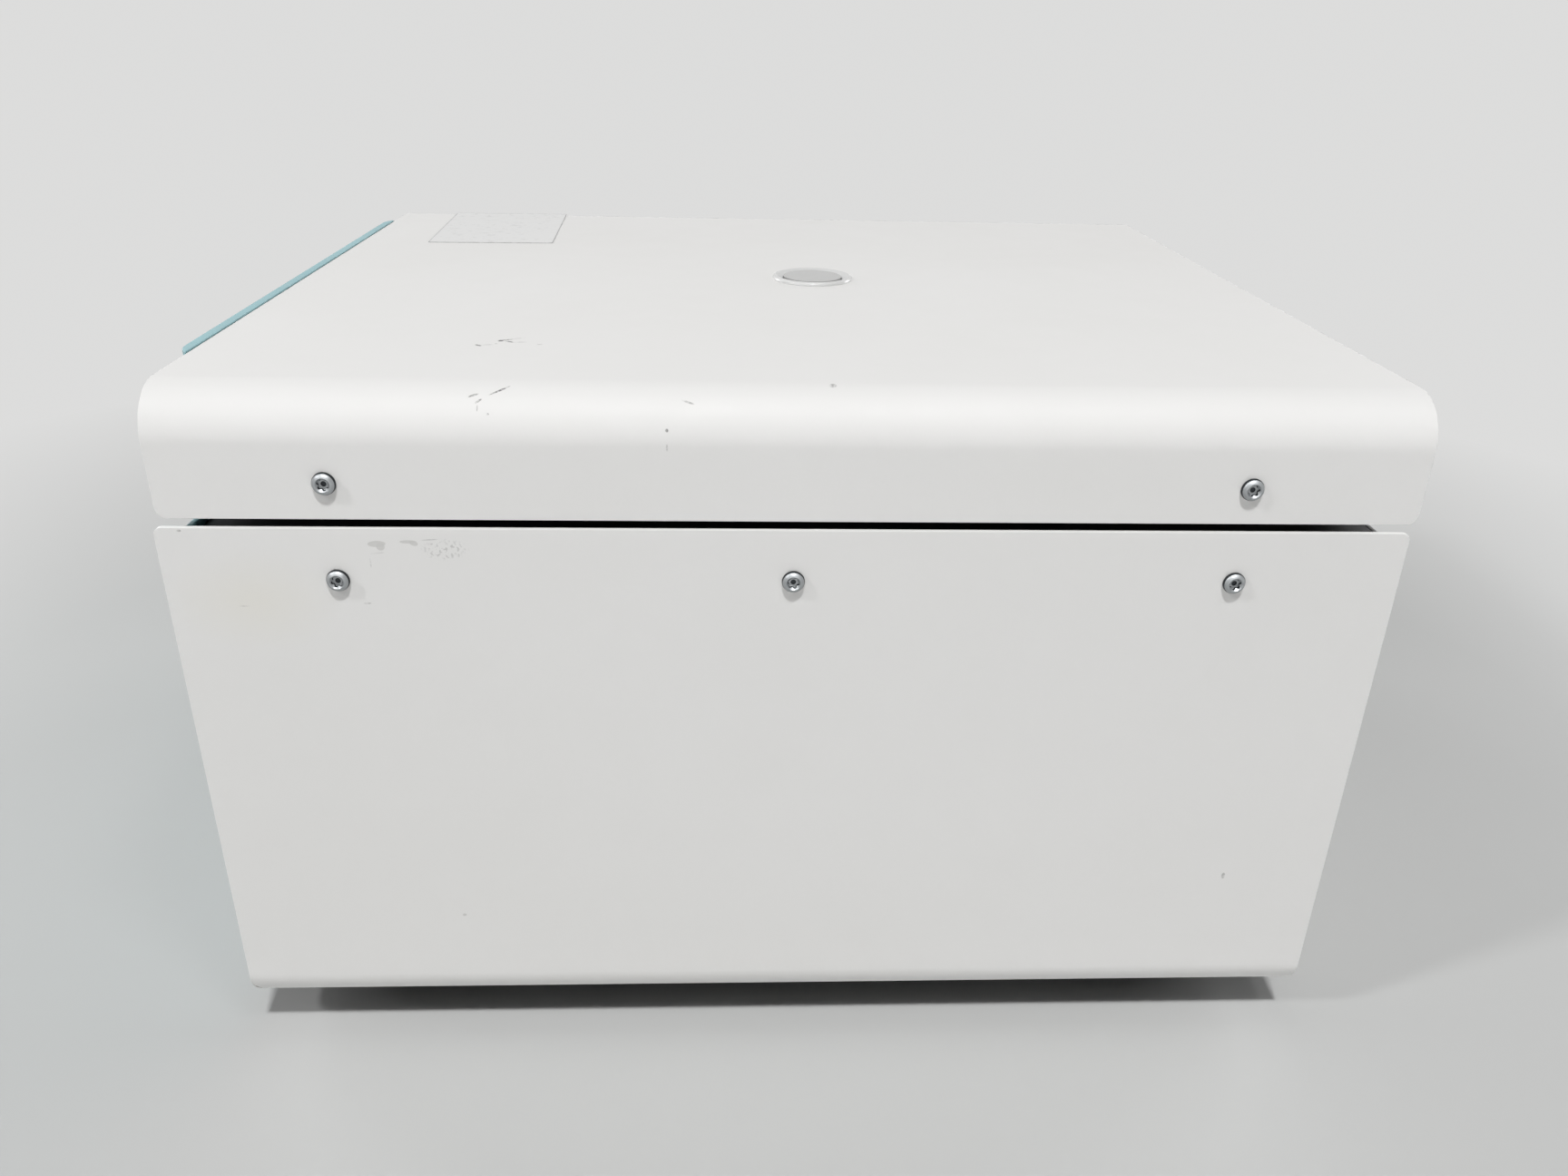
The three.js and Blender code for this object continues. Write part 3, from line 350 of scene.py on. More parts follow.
# A texture laid out in the piece's own coordinates
def addTexture(nodes, links, kind, way, middle, turn, size):
    coords = nodes.new("ShaderNodeTexCoord")
    mapping = nodes.new("ShaderNodeMapping")
    mapping.vector_type = way
    for key, value in {"Location": middle, "Rotation": turn, "Scale": size}.items():
        mapping.inputs[key].default_value = value
    texture = nodes.new(kind)
    links.new(coords.outputs["Object"], mapping.inputs["Vector"])
    links.new(mapping.outputs["Vector"], texture.inputs["Vector"])
    return texture


def addNoise(nodes, links, scale, detail=2.0, stretch=(1, 1, 1)):
    noise = addTexture(nodes, links, "ShaderNodeTexNoise", "POINT", (0, 0, 0), (0, 0, 0), stretch)
    noise.inputs["Scale"].default_value = scale
    noise.inputs["Detail"].default_value = detail
    return noise.outputs["Fac"]


def addRange(nodes, links, value, fromLow, fromHigh, toLow, toHigh):
    ramp = nodes.new("ShaderNodeMapRange")
    limits = {"From Min": fromLow, "From Max": fromHigh, "To Min": toLow, "To Max": toHigh}
    for key, limit in limits.items():
        ramp.inputs[key].default_value = limit
    links.new(value, ramp.inputs["Value"])
    return ramp.outputs["Result"]


# Sets a socket to a number or a colour, or links it to another socket
def feed(links, socket, value):
    if isinstance(value, tuple):
        socket.default_value = (*value, 1)
    elif isinstance(value, (int, float)):
        socket.default_value = value
    else:
        links.new(value, socket)


def addMath(nodes, links, operation, a, b):
    step = nodes.new("ShaderNodeMath")
    step.operation = operation
    feed(links, step.inputs[0], a)
    feed(links, step.inputs[1], b)
    return step.outputs["Value"]


# The mix node's colour sockets share their names with others, so they go by number
def addMix(nodes, links, factor, first, second):
    mix = nodes.new("ShaderNodeMix")
    mix.data_type = "RGBA"
    links.new(factor, mix.inputs["Factor"])
    feed(links, mix.inputs[6], first)
    feed(links, mix.inputs[7], second)
    return mix.outputs[2]


def splitCoords(nodes, links, kind="Object"):
    coords = nodes.new("ShaderNodeTexCoord")
    split = nodes.new("ShaderNodeSeparateXYZ")
    links.new(coords.outputs[kind], split.inputs["Vector"])
    return split.outputs


def addBump(nodes, links, shader, height, distance):
    bump = nodes.new("ShaderNodeBump")
    bump.inputs["Distance"].default_value = distance
    links.new(height, bump.inputs["Height"])
    links.new(bump.outputs["Normal"], shader.inputs["Normal"])


# An oval patch that fades from 1 at its middle to 0 at its rim
def addPatch(nodes, links, middle, size, turn=(0, 0, 0)):
    gradient = addTexture(nodes, links, "ShaderNodeTexGradient", "TEXTURE", middle, turn, size)
    gradient.gradient_type = "SPHERICAL"
    return gradient.outputs["Fac"]


paint = {
    "white": (0.80, 0.795, 0.785), "shade": (0.785, 0.78, 0.767), "aged": (0.775, 0.755, 0.69),
    # the near-black underside colour is painted shade, which keeps the gap under the case dark
    "under": (0.012, 0.012, 0.013), "scratch": (0.15, 0.147, 0.143), "flake": (0.62, 0.615, 0.60),
    "bare": (0.20, 0.18, 0.16), "gloss": 0.17, "cloud": (7, 3), "cloudRange": (0.35, 0.65, 0, 1),
    "rough": (60, 2), "roughRange": (0.3, 0.7, 0.46, 0.58), "peel": (620, 1.5), "peelDeep": 0.012 * mm,
    "grain": (750, 3), "grainRange": (0.36, 0.55, 0.25, 1), "speckle": (1000, 2),
    "speckleRange": (0.54, 0.62, 0, 1), "agedRange": (0, 0.9, 0, 0.55), "softRim": 0.4, "hardRim": 0.12,
    "underRange": (0.9 * mm, 0.3 * mm), "sideFrom": 180,
}
# Marks on the paint: tint, strength, middle and half sizes in millimetres, and the turn in degrees, which is
# about X for a mark on the side and about Z for one on the top. Those on the lid are all scratches.
lidScratches = [
    (1.0, (130.6, -114.4, 274.2), (1.0, 1.8, 3), -40),
    (0.45, (129.8, -111.2, 274.2), (0.5, 2.4, 3), 10),
    (1.0, (123.6, -107.5, 274.2), (1.4, 1.3, 3), 0),
    (1.0, (122.3, -105.4, 274.2), (0.7, 2.6, 3), 20),
    (1.0, (124.9, -104.0, 274.2), (0.7, 2.3, 3), -30),
    (0.4, (120.2, -102.2, 274.2), (0.5, 4.2, 3), 22),
    (0.4, (125.4, -100.2, 274.2), (0.5, 3.2, 3), 6),
    (0.35, (128.3, -92.3, 274.2), (0.6, 1.4, 3), 25),
    (0.5, (128.0, -108.3, 274.2), (0.7, 0.6, 3), 0),
    (0.75, (184.0, -106.3, 271.2), (3, 2.1, 0.32), 14),
    (1.0, (185.8, -104.5, 269.8), (3, 1.3, 0.36), 26),
    (1.0, (181.8, -98.0, 272.3), (4, 4.4, 0.24), 17),
    (0.4, (187.7, -104.7, 267.9), (3, 0.3, 1.1), 0),
    (0.6, (188.9, -101.2, 266.3), (3, 0.5, 0.4), 0),
    (0.75, (191.1, -42.9, 262.0), (3, 0.6, 0.7), 0),
    (0.3, (192.0, -42.9, 256.4), (3, 0.4, 1.5), 0),
    (0.5, (185.5, -36.0, 270.0), (3, 2.4, 0.34), -14),
    (0.6, (177.5, 12.4, 273.8), (1.6, 1.4, 2), 0),
]
sideMarks = [
    ("flake", 0.85, (192, -141.6, 221.4), (2, 3.2, 1.2), 2),
    ("flake", 0.85, (192, -140.4, 220.4), (2, 1.5, 1.5), 0),
    ("flake", 0.85, (192, -131.0, 222.2), (2, 3.0, 0.65), 0),
    ("flake", 0.85, (192, -129.2, 221.7), (2, 1.6, 0.95), -20),
    ("scratch", 0.28, (192, -123.8, 223.0), (2, 3.2, 0.3), 4),
    ("scratch", 0.22, (192, -141.8, 218.0), (2, 2.8, 0.3), 6),
    ("scratch", 0.28, (192, -144.4, 214.4), (2, 0.3, 2.0), 0),
    ("scratch", 0.4, (192, -147.3, 199.0), (2, 1.6, 0.3), 0),
    ("scratch", 0.2, (192, -189.2, 197.8), (2, 2.2, 0.3), 0),
    ("scratch", 0.5, (192, -206.3, 225.9), (2, 0.9, 0.5), 0),
    ("scratch", 0.7, (192, -126.4, 61.9), (2, 0.9, 0.7), 0),
    ("scratch", 0.5, (192, 175.6, 78.3), (2, 0.9, 1.7), 0),
    ("bare", 0.9, (189.5, -213.2, 22.5), (4, 0.5, 4.5), 28),
]
sideRubs = [("scratch", 0.30, (192, -119.0, 219.4), (2, 8.5, 4.2), 0)]
agedPlaces = [((192, -186, 200), (30, 30, 20))]


# Powder coat: fine orange peel, faint clouding, old handling marks, and where a bottom height is given,
# painted shade on the underside
def casePaint(name, marks, rubs, aged, under=None):
    material, nodes, links, shader = newFinish(name, paint["white"])
    shader.inputs["Specular IOR Level"].default_value = paint["gloss"]

    def pattern(kind):
        return addRange(nodes, links, addNoise(nodes, links, *paint[kind]), *paint[f"{kind}Range"])

    color = addMix(nodes, links, pattern("cloud"), paint["white"], paint["shade"])
    for middle, size in aged:
        mask = addPatch(nodes, links, Vector(middle) * mm, Vector(size) * mm)
        mask = addRange(nodes, links, mask, *paint["agedRange"])
        color = addMix(nodes, links, mask, color, paint["aged"])
    grain = pattern("grain")
    speckle = pattern("speckle")
    for places, breakUp in ((rubs, speckle), (marks, grain)):
        for tint, strength, middle, size, degrees in places:
            turn = math.radians(degrees)
            turned = (turn, 0, 0) if middle[0] > paint["sideFrom"] else (0, 0, turn)
            mask = addPatch(nodes, links, Vector(middle) * mm, Vector(size) * mm, turned)
            rim = paint["hardRim"] if tint == "flake" else paint["softRim"]
            mask = addRange(nodes, links, mask, 0, rim, 0, strength)
            if tint != "flake":
                mask = addMath(nodes, links, "MULTIPLY", mask, breakUp)
            color = addMix(nodes, links, mask, color, paint[tint])
    # Painted shade: faces within about a millimetre of the case's bottom are painted near black, so the gap
    # under the case stays dark
    if under:
        high, low = (under + height for height in paint["underRange"])
        mask = addRange(nodes, links, splitCoords(nodes, links)["Z"], high, low, 0, 1)
        color = addMix(nodes, links, mask, color, paint["under"])
    links.new(color, shader.inputs["Base Color"])
    links.new(pattern("rough"), shader.inputs["Roughness"])
    addBump(nodes, links, shader, addNoise(nodes, links, *paint["peel"]), paint["peelDeep"])
    return material


def darkened(color, share):
    return tuple(channel * (1 - share) for channel in color)


# Moulded plastic with a fine spark-eroded grain
moulded = {
    "cloud": (25, 3), "cloudRange": (0.3, 0.7, 0, 1), "rough": (180, 2), "roughRange": (0.3, 0.7),
    "swing": 0.06,
}


def mouldedPlastic(name, color, roughness, grain=0.006 * mm, vary=0.06, scale=1400):
    material, nodes, links, shader = newFinish(name, color, roughness)
    cloud = addRange(nodes, links, addNoise(nodes, links, *moulded["cloud"]), *moulded["cloudRange"])
    links.new(addMix(nodes, links, cloud, color, darkened(color, vary)), shader.inputs["Base Color"])
    rough = addNoise(nodes, links, *moulded["rough"])
    low, high = roughness - moulded["swing"], roughness + moulded["swing"]
    rough = addRange(nodes, links, rough, *moulded["roughRange"], low, high)
    links.new(rough, shader.inputs["Roughness"])
    addBump(nodes, links, shader, addNoise(nodes, links, scale), grain)
    return material


# Metal with fine marks: drawn out along one axis, or round in rings about a middle
metal = {
    "detail": 3, "streakRange": (0.3, 0.7), "streakRough": (-0.07, 0.09), "smear": (12, 1),
    "smearRange": (0.2, 0.8), "smearRough": (-0.02, 0.04),
}


def workedMetal(name, color, roughness, stretch=(1, 1, 1), scale=400, depth=0.004 * mm, vary=0.12):
    material, nodes, links, shader = newFinish(name, color, roughness, 1.0)
    streak = addNoise(nodes, links, scale, metal["detail"], stretch)
    links.new(addMix(nodes, links, streak, darkened(color, vary), color), shader.inputs["Base Color"])
    low, high = (roughness + change for change in metal["streakRough"])
    links.new(addRange(nodes, links, streak, *metal["streakRange"], low, high), shader.inputs["Roughness"])
    addBump(nodes, links, shader, streak, depth)
    return material


def turnedMetal(name, color, roughness, ringScale=900, depth=0.0015 * mm, vary=0.06):
    middle = middleOf("chamber_bowl")
    material, nodes, links, shader = newFinish(name, color, roughness, 1.0)
    place = splitCoords(nodes, links)
    ways = [addMath(nodes, links, "SUBTRACT", place["X"], middle.x),
            addMath(nodes, links, "SUBTRACT", place["Y"], middle.y)]
    squares = [addMath(nodes, links, "MULTIPLY", way, way) for way in ways]
    radius = addMath(nodes, links, "SQRT", addMath(nodes, links, "ADD", *squares), 0)
    where = nodes.new("ShaderNodeCombineXYZ")
    links.new(radius, where.inputs["X"])
    links.new(place["Z"], where.inputs["Z"])
    rings = nodes.new("ShaderNodeTexNoise")
    rings.inputs["Scale"].default_value = ringScale
    rings.inputs["Detail"].default_value = metal["detail"]
    links.new(where.outputs["Vector"], rings.inputs["Vector"])
    ringed = addMix(nodes, links, rings.outputs["Fac"], darkened(color, vary), color)
    links.new(ringed, shader.inputs["Base Color"])
    smear = addNoise(nodes, links, *metal["smear"])
    low, high = (roughness + change for change in metal["smearRough"])
    links.new(addRange(nodes, links, smear, *metal["smearRange"], low, high), shader.inputs["Roughness"])
    addBump(nodes, links, shader, rings.outputs["Fac"], depth)
    return material


# Rubber with dust in its pores
rubber = {
    "black": (0.020, 0.020, 0.021), "dust": (0.05, 0.05, 0.048), "rough": 0.72, "cloud": (120, 4),
    "cloudRange": (0.45, 0.75, 0, 1), "grain": (1100, 2), "grainDeep": 0.01 * mm,
}


def rubberFinish(name):
    material, nodes, links, shader = newFinish(name, rubber["black"], rubber["rough"])
    dust = addRange(nodes, links, addNoise(nodes, links, *rubber["cloud"]), *rubber["cloudRange"])
    links.new(addMix(nodes, links, dust, rubber["black"], rubber["dust"]), shader.inputs["Base Color"])
    addBump(nodes, links, shader, addNoise(nodes, links, *rubber["grain"]), rubber["grainDeep"])
    return material


clear = {"ior": 1.49, "coat": 0.3, "haze": (90, 3), "hazeRange": (0.35, 0.7), "hazeRough": 0.10}


def clearPlastic(name, color, roughness, through):
    material, nodes, links, shader = newFinish(name, color, roughness)
    shader.inputs["IOR"].default_value = clear["ior"]
    shader.inputs["Transmission Weight"].default_value = through
    shader.inputs["Coat Weight"].default_value = clear["coat"]
    haze = addNoise(nodes, links, *clear["haze"])
    haze = addRange(nodes, links, haze, *clear["hazeRange"], roughness, roughness + clear["hazeRough"])
    links.new(haze, shader.inputs["Roughness"])
    return material


# Green board with paler tracks
board = {
    "scale": 160, "rough": 0.35,
    "colors": {"Color1": (0.018, 0.11, 0.045), "Color2": (0.025, 0.14, 0.06), "Mortar": (0.05, 0.22, 0.10)},
}


def circuitBoard(name):
    material, nodes, links, shader = newFinish(name, board["colors"]["Color1"], board["rough"])
    bricks = nodes.new("ShaderNodeTexBrick")
    coords = nodes.new("ShaderNodeTexCoord")
    links.new(coords.outputs["Object"], bricks.inputs["Vector"])
    bricks.inputs["Scale"].default_value = board["scale"]
    for socket, color in board["colors"].items():
        bricks.inputs[socket].default_value = (*color, 1)
    links.new(bricks.outputs["Color"], shader.inputs["Base Color"])
    return material


# How each finish is made, its colour and its roughness, then what its maker takes after them
finishValues = {
    "teal_plastic": (mouldedPlastic, (0.30, 0.52, 0.56), 0.38),
    "black_plastic": (mouldedPlastic, (0.018, 0.018, 0.02), 0.48),
    "black_paint": (mouldedPlastic, (0.022, 0.022, 0.024), 0.55, 0.012 * mm, 0.15, 700),
    "grey_plastic": (mouldedPlastic, (0.56, 0.57, 0.57), 0.42),
    # a darker grey, as painted shade on the lens's edge
    "lens_edge_shade": (mouldedPlastic, (0.30, 0.30, 0.30), 0.5),
    "white_print": (mouldedPlastic, (0.75, 0.76, 0.76), 0.5),
    "dark_print": (mouldedPlastic, (0.05, 0.07, 0.08), 0.5),
    # a dark copy of zinc, as painted shade on the screws' rims and recesses
    "zinc_painted_shade": (workedMetal, (0.06, 0.065, 0.07), 0.45, (1, 1, 1), 420, 0.012 * mm, 0.35),
    "zinc": (workedMetal, (0.50, 0.52, 0.535), 0.46, (1, 1, 1), 420, 0.016 * mm, 0.35),
    "plain_steel": (workedMetal, (0.46, 0.47, 0.48), 0.38, (1, 6, 1)),
    "stainless": (turnedMetal, (0.62, 0.62, 0.62), 0.32),
    "aluminium": (turnedMetal, (0.56, 0.57, 0.59), 0.34, 1400),
    "clear_plastic": (clearPlastic, (0.69, 0.69, 0.685), 0.26, 0.05),
    "smoked_plastic": (clearPlastic, (0.010, 0.012, 0.014), 0.08, 0.0),
    "frosted_lens": (clearPlastic, (0.50, 0.50, 0.495), 0.34, 0.0),
}


def makeFinishes():
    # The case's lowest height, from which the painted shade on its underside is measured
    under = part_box("base_shell")[0].z
    finishes["case_paint"] = casePaint("case_paint", sideMarks, sideRubs, agedPlaces, under)
    finishes["lid_paint"] = casePaint(
        "lid_paint", [("scratch", *mark) for mark in lidScratches], [], [])
    for name, (makeOne, *values) in finishValues.items():
        finishes[name] = makeOne(name, *values)
    finishes["rubber"] = rubberFinish("rubber")
    finishes["circuit_board"] = circuitBoard("circuit_board")
    print("finishes made:", len(finishes))


# Bent sheets of the case; each hole's rod has its radius, length, axis and sides
bentSheet = {
    "sheet": 2 * mm, "bend": 18 * mm, "baseBend": 16 * mm, "bendSteps": 14, "lidCorner": 3.8 * mm,
    "baseCorner": 3 * mm, "cornerSteps": 6, "edge": 0.3 * mm, "edgeAngle": 50,
    "screwHole": (2.25 * mm, 1, "x", 24), "portHole": (16.25 * mm, 0.2, "z", 64),
}


def screwHoles(piece, stem, count):
    rods = []
    for number in range(1, count // 2 + 1):
        middle = middleOf(f"{stem}_{number}")
        middle.x = 0
        rods.append(addRod("hole", middle, *bentSheet["screwHole"]))
    carve(piece, join("holes", rods))


# Bends the two long edges at bendZ, drops the open sides and rounds the free corners
def bendSheet(piece, bendZ, freeZ, radius, corner):
    startEditing(piece)
    pick(piece, "EDGE", lambda a, b: near(a.z, bendZ) and near(b.z, bendZ) and near(a.x, b.x))
    bpy.ops.mesh.bevel(offset=radius, segments=bentSheet["bendSteps"], profile=0.5, affect="EDGES")
    pick(piece, "FACE", lambda middle, normal: abs(normal.y) > facing or near(middle.z, freeZ))
    bpy.ops.mesh.delete(type="FACE")
    pick(piece, "VERT", lambda point: near(point.z, freeZ))
    bpy.ops.mesh.bevel(offset=corner, segments=bentSheet["cornerSteps"], profile=0.5, affect="VERTICES")
    bpy.ops.mesh.select_all(action="SELECT")
    stopEditing()
    applyModifier(piece, "SOLIDIFY", thickness=bentSheet["sheet"], offset=-1, use_even_offset=True)


def makeLidCover():
    low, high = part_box("lid_shell")
    piece = addBlock("lid_cover", low, high)
    bendSheet(piece, high.z, low.z, bentSheet["bend"], bentSheet["lidCorner"])
    carve(piece, addRod("port", middleOf("window_port"), *bentSheet["portHole"]))
    screwHoles(piece, "lid_screw", 4)
    softenEdges(piece, bentSheet["edge"], 2, bentSheet["edgeAngle"])
    standFor(piece, "lid_shell", finishes["lid_paint"])


def makeBaseCover():
    low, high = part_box("base_shell")
    piece = addBlock("base_cover", low, high)
    bendSheet(piece, low.z, high.z, bentSheet["baseBend"], bentSheet["baseCorner"])
    screwHoles(piece, "side_screw", 6)
    softenEdges(piece, bentSheet["edge"], 2, bentSheet["edgeAngle"])
    standFor(piece, "base_shell")


# Pan head screws in millimetres: a domed head with a six-lobe recess that ends in a pit, on a plain shank
screw = {
    "outline": [(0, -8.7), (1.6, -8.7), (2.0, -8.3), (2.0, 0.25), (3.9, 0.25), (4.0, 0.35), (4.0, 0.72),
                (3.93, 1.05), (3.75, 1.45), (3.45, 1.85), (3.0, 2.22), (2.45, 2.5), (1.8, 2.62), (0, 2.64)],
    "steps": 48, "entry": (2.62, 1.7, 1.0), "entryOver": 0.2, "lobe": 2.15, "lobeSides": 36,
    "valleys": ((0.5, 0.93), (-0.5, 0.79), (-1.0, 0.70)), "within": 0.1, "depth": 1.9, "pit": 0.95,
    "pitSides": 24, "edge": 0.06 * mm, "edgeAngle": 50, "seat": 2.65 * mm,
    "shadedRim": 3.7 * mm, "shadedRecess": 2.3 * mm, "shadedBelow": 0.6 * mm,
    "turns": (12, 47, 80, 23, 64, 5, 38, 71, 17, 55),
}


# A six-lobe bar along X: a cylinder whose sides are drawn in between the lobes, deepest in the middle
def lobedBar(middle, radius, length):
    bar = addRod("lobes", middle, radius, length, "x", screw["lobeSides"])
    for limit, share in screw["valleys"]:
        startEditing(bar)
        pick(bar, "VERT", lambda point: near(
            math.cos(6 * math.atan2(point.z - middle.z, point.y - middle.y)), limit, screw["within"]))
        bpy.ops.transform.resize(value=(1, share, share), center_override=middle)
        stopEditing()
    return bar


# The screw about X; a skip leaves out the outline's first points, and with them the shank
def makeScrew(skip=0):
    points = [(radius * mm, height * mm) for radius, height in screw["outline"][skip:]]
    if skip:
        points.insert(0, (0, points[0][1]))
    piece = turnedPiece("screw_pattern", points, (0, 0, 0), "x", screw["steps"])
    top = points[-1][1]
    wide, slim, deep = (size * mm for size in screw["entry"])
    over = screw["entryOver"]
    deselect()
    bpy.ops.mesh.primitive_cone_add(
        vertices=screw["steps"], radius1=slim, radius2=wide + (wide - slim) * over, depth=deep * (1 + over),
        location=(top - deep * (1 - over) / 2, 0, 0), rotation=turns["x"])
    carve(piece, nameNew("entry"))
    depth, pit = screw["depth"] * mm, screw["pit"] * mm
    carve(piece, lobedBar(Vector((top, 0, 0)), screw["lobe"] * mm, 2 * depth))
    carve(piece, addRod("pit", (top - depth, 0, 0), pit, pit, "x", screw["pitSides"]))
    joinPoints(piece, 2 * tiny)
    softenEdges(piece, screw["edge"], 1, screw["edgeAngle"])
    return piece


# The rim, the recess's walls and the pit take a darker zinc: painted shade where the head meets the sheet and
# inside the recess
def makeScrews():
    pattern = makeScrew()
    top = max(point.co.x for point in pattern.data.vertices)
    shaded = []
    for face in pattern.data.polygons:
        radius = math.hypot(face.center.y, face.center.z)
        below = top - face.center.x
        wall = below > screw["shadedBelow"] and abs(face.normal.x) < sideways
        pit = below > screw["depth"] * mm + tiny
        inside = radius < screw["shadedRecess"] and (wall or pit)
        shaded.append(int(radius > screw["shadedRim"] or inside))
    names = [f"side_screw_{i}" for i in range(1, 7)] + [f"lid_screw_{i}" for i in range(1, 5)]
    for name, degrees in zip(names, screw["turns"]):
        middle = middleOf(name)
        outward = 1 if middle.x > 0 else -1
        middle.x = (cadHigh.x - screw["seat"]) * outward
        piece = twin(pattern, name.replace("screw", "pan_screw"))
        spin = Quaternion((1, 0, 0), math.radians(degrees))
        turn = Quaternion((0, 0, 1), 0 if outward > 0 else math.pi)
        piece.data.transform(Matrix.Translation(middle) @ (turn @ spin).to_matrix().to_4x4())
        standFor(piece, name)
        piece.data.materials.append(finishes["zinc_painted_shade"])
        for face, dark in zip(piece.data.polygons, shaded):
            face.material_index = dark
    bpy.data.objects.remove(pattern)


# Two heads on each hinge plate: how far out and up from the pin's middle, and on what they sit
hingeScrew = {"leaf": (18.5 * mm, 21 * mm), "bracket": (6.5 * mm, -22 * mm), "seat": 2.5 * mm, "headFrom": 4}


def makeHingeScrews():
    pattern = makeScrew(hingeScrew["headFrom"])
    pattern.data.transform(Quaternion((0, 0, 1), math.pi / 2).to_matrix().to_4x4())
    for side in ("left", "right"):
        pin = middleOf(f"hinge_pin_{side}")
        pin.x = middleOf(f"hinge_leaf_{side}").x
        for stem in ("leaf", "bracket"):
            node = f"hinge_{stem}_{side}"
            out, up = hingeScrew[stem]
            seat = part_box(node)[0].y + hingeScrew["seat"]
            heads = []
            for sign in (-1, 1):
                head = twin(pattern, "head")
                head.data.transform(Matrix.Translation((pin.x + sign * out, seat, pin.z + up)))
                heads.append(head)
            dress(join(f"{node}_screws", heads), node, finishes["zinc"])
    bpy.data.objects.remove(pattern)


# Viewing port: a low bevelled collar, in millimetres, and a frosted lens set in it whose side faces are
# painted greyer as painted shade
port = {
    "collar": [(18.4, 0.06), (18.4, 0.6), (18.1, 1.2), (17.6, 1.6), (17.0, 1.75), (16.3, 1.6), (15.5, 1.2),
               (14.7, 0.8), (14.0, 0.5), (13.85, 0.4), (13.85, -1.2), (12.45, -1.2)],
    "tube": 16.0, "lensEdge": 0.35 * mm, "steps": 96, "lensFace": 0.8,
}


def makePort():
    middle = middleOf("window_port")
    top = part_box("lid_shell")[1].z
    collar = [(radius * mm, top - middle.z + height * mm) for radius, height in port["collar"]]
    inner = collar[-1][0]
    tube = port["tube"] * mm
    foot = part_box("window_port")[0].z - middle.z
    points = collar + [(inner, foot), (tube, foot), (tube, collar[0][1]), collar[0]]
    piece = turnedPiece("port_collar", points, middle, "z", port["steps"])
    softenEdges(piece, 0)
    standFor(piece, "window_port")
    lens = turnedCopy("window_lens", "port_lens", "z", port["steps"], port["lensEdge"])
    standFor(lens, "window_lens", finishes["frosted_lens"])
    # Painted shade: the lens's side faces take a darker grey, standing in for the collar's shadow on the
    # lens's near edge
    lens.data.materials.append(finishes["lens_edge_shade"])
    for face in lens.data.polygons:
        face.material_index = int(face.normal.z < port["lensFace"])


# Blank film label near the lid's front far corner: clear film over white, smudged where it holds dirt, with a
# darker rim that is partly edge dirt and partly a painted shadow line along its edge
label = {
    "middle": (-0.130, -0.1495), "size": (0.098, 0.064), "turn": 2.6, "thick": 0.16 * mm, "lift": 0.03 * mm,
    "rim": 0.45 * mm, "corner": 1.2 * mm, "cornerSteps": 4, "rough": 0.3, "smudge": (260, 4),
    "blend": (0.12, 0.8),
    "film": ((0.765, 0.765, 0.76), (0.63, 0.63, 0.625), 0.57),
    "filmRimDirtAndShade": ((0.46, 0.46, 0.46), (0.30, 0.30, 0.30), 0.45),
}


def labelFilm(name, clean, smudged, share):
    material, nodes, links, shader = newFinish(name, clean, label["rough"])
    width, most = label["blend"]
    spots = addNoise(nodes, links, *label["smudge"])
    spots = addRange(nodes, links, spots, share, share + width, 0, most)
    links.new(addMix(nodes, links, spots, clean, smudged), shader.inputs["Base Color"])
    return material


def makeLabel():
    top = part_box("lid_shell")[1].z + label["lift"]
    halfX, halfY = (side / 2 for side in label["size"])
    x, y = label["middle"]
    piece = addBlock(
        "blank_label", (x - halfX, y - halfY, top), (x + halfX, y + halfY, top + label["thick"]))
    startEditing(piece)
    pick(piece, "EDGE", lambda a, b: near(a.x, b.x) and near(a.y, b.y))
    bpy.ops.mesh.bevel(offset=label["corner"], segments=label["cornerSteps"], affect="EDGES")
    bpy.ops.mesh.select_all(action="SELECT")
    bpy.ops.transform.rotate(
        value=-math.radians(label["turn"]), orient_axis="Z", center_override=(x, y, top))
    pick(piece, "FACE", lambda middle, normal: normal.z > facing)
    bpy.ops.mesh.inset(thickness=label["rim"], depth=0)
    stopEditing()
    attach(piece, "lid")
    piece.data.materials.append(labelFilm("label_film", *label["film"]))
    # The darker rim: partly dirt along the edge, partly painted shade for the film edge's shadow line
    piece.data.materials.append(labelFilm("label_rim_dirt_and_shade", *label["filmRimDirtAndShade"]))
    inner = max(piece.data.polygons, key=lambda face: face.area * face.normal.z)
    for face in piece.data.polygons:
        face.material_index = int(face.index != inner.index)
    softenEdges(piece, 0)


# Round pieces, each spun from its own section: name, axis, steps round, and rounding in millimetres
roundPieces = {
    **{f"foot_{i}": (f"rubber_foot_{i}", "z", 64, 1.4) for i in range(1, 5)},
    "chamber_bowl": ("chamber_liner", "z", 144, 0.3), "lid_seal": ("lip_seal", "z", 144, 0.7),
    "guard_ring": ("guard_barrel", "z", 128, 0.5), "motor_housing": ("motor_can", "z", 96, 0.6),
    "motor_armature": ("motor_core", "z", 96, 0.5), "lower_bearing": ("bearing_below", "z", 64, 0.3),
    "upper_bearing": ("bearing_above", "z", 64, 0.3), "drive_shaft": ("rotor_shaft", "z", 64, 0.3),
    "shaft_boot": ("shaft_gaiter", "z", 96, 0.4),
    **{f"damper_{i}": (f"motor_damper_{i}", "z", 48, 0.8) for i in range(1, 4)},
    **{f"hinge_pin_{side}": (f"hinge_rod_{side}", "x", 48, 0.3) for side in ("left", "right")},
    "lock_bolt": ("lock_plunger", "x", 48, 0.3),
}


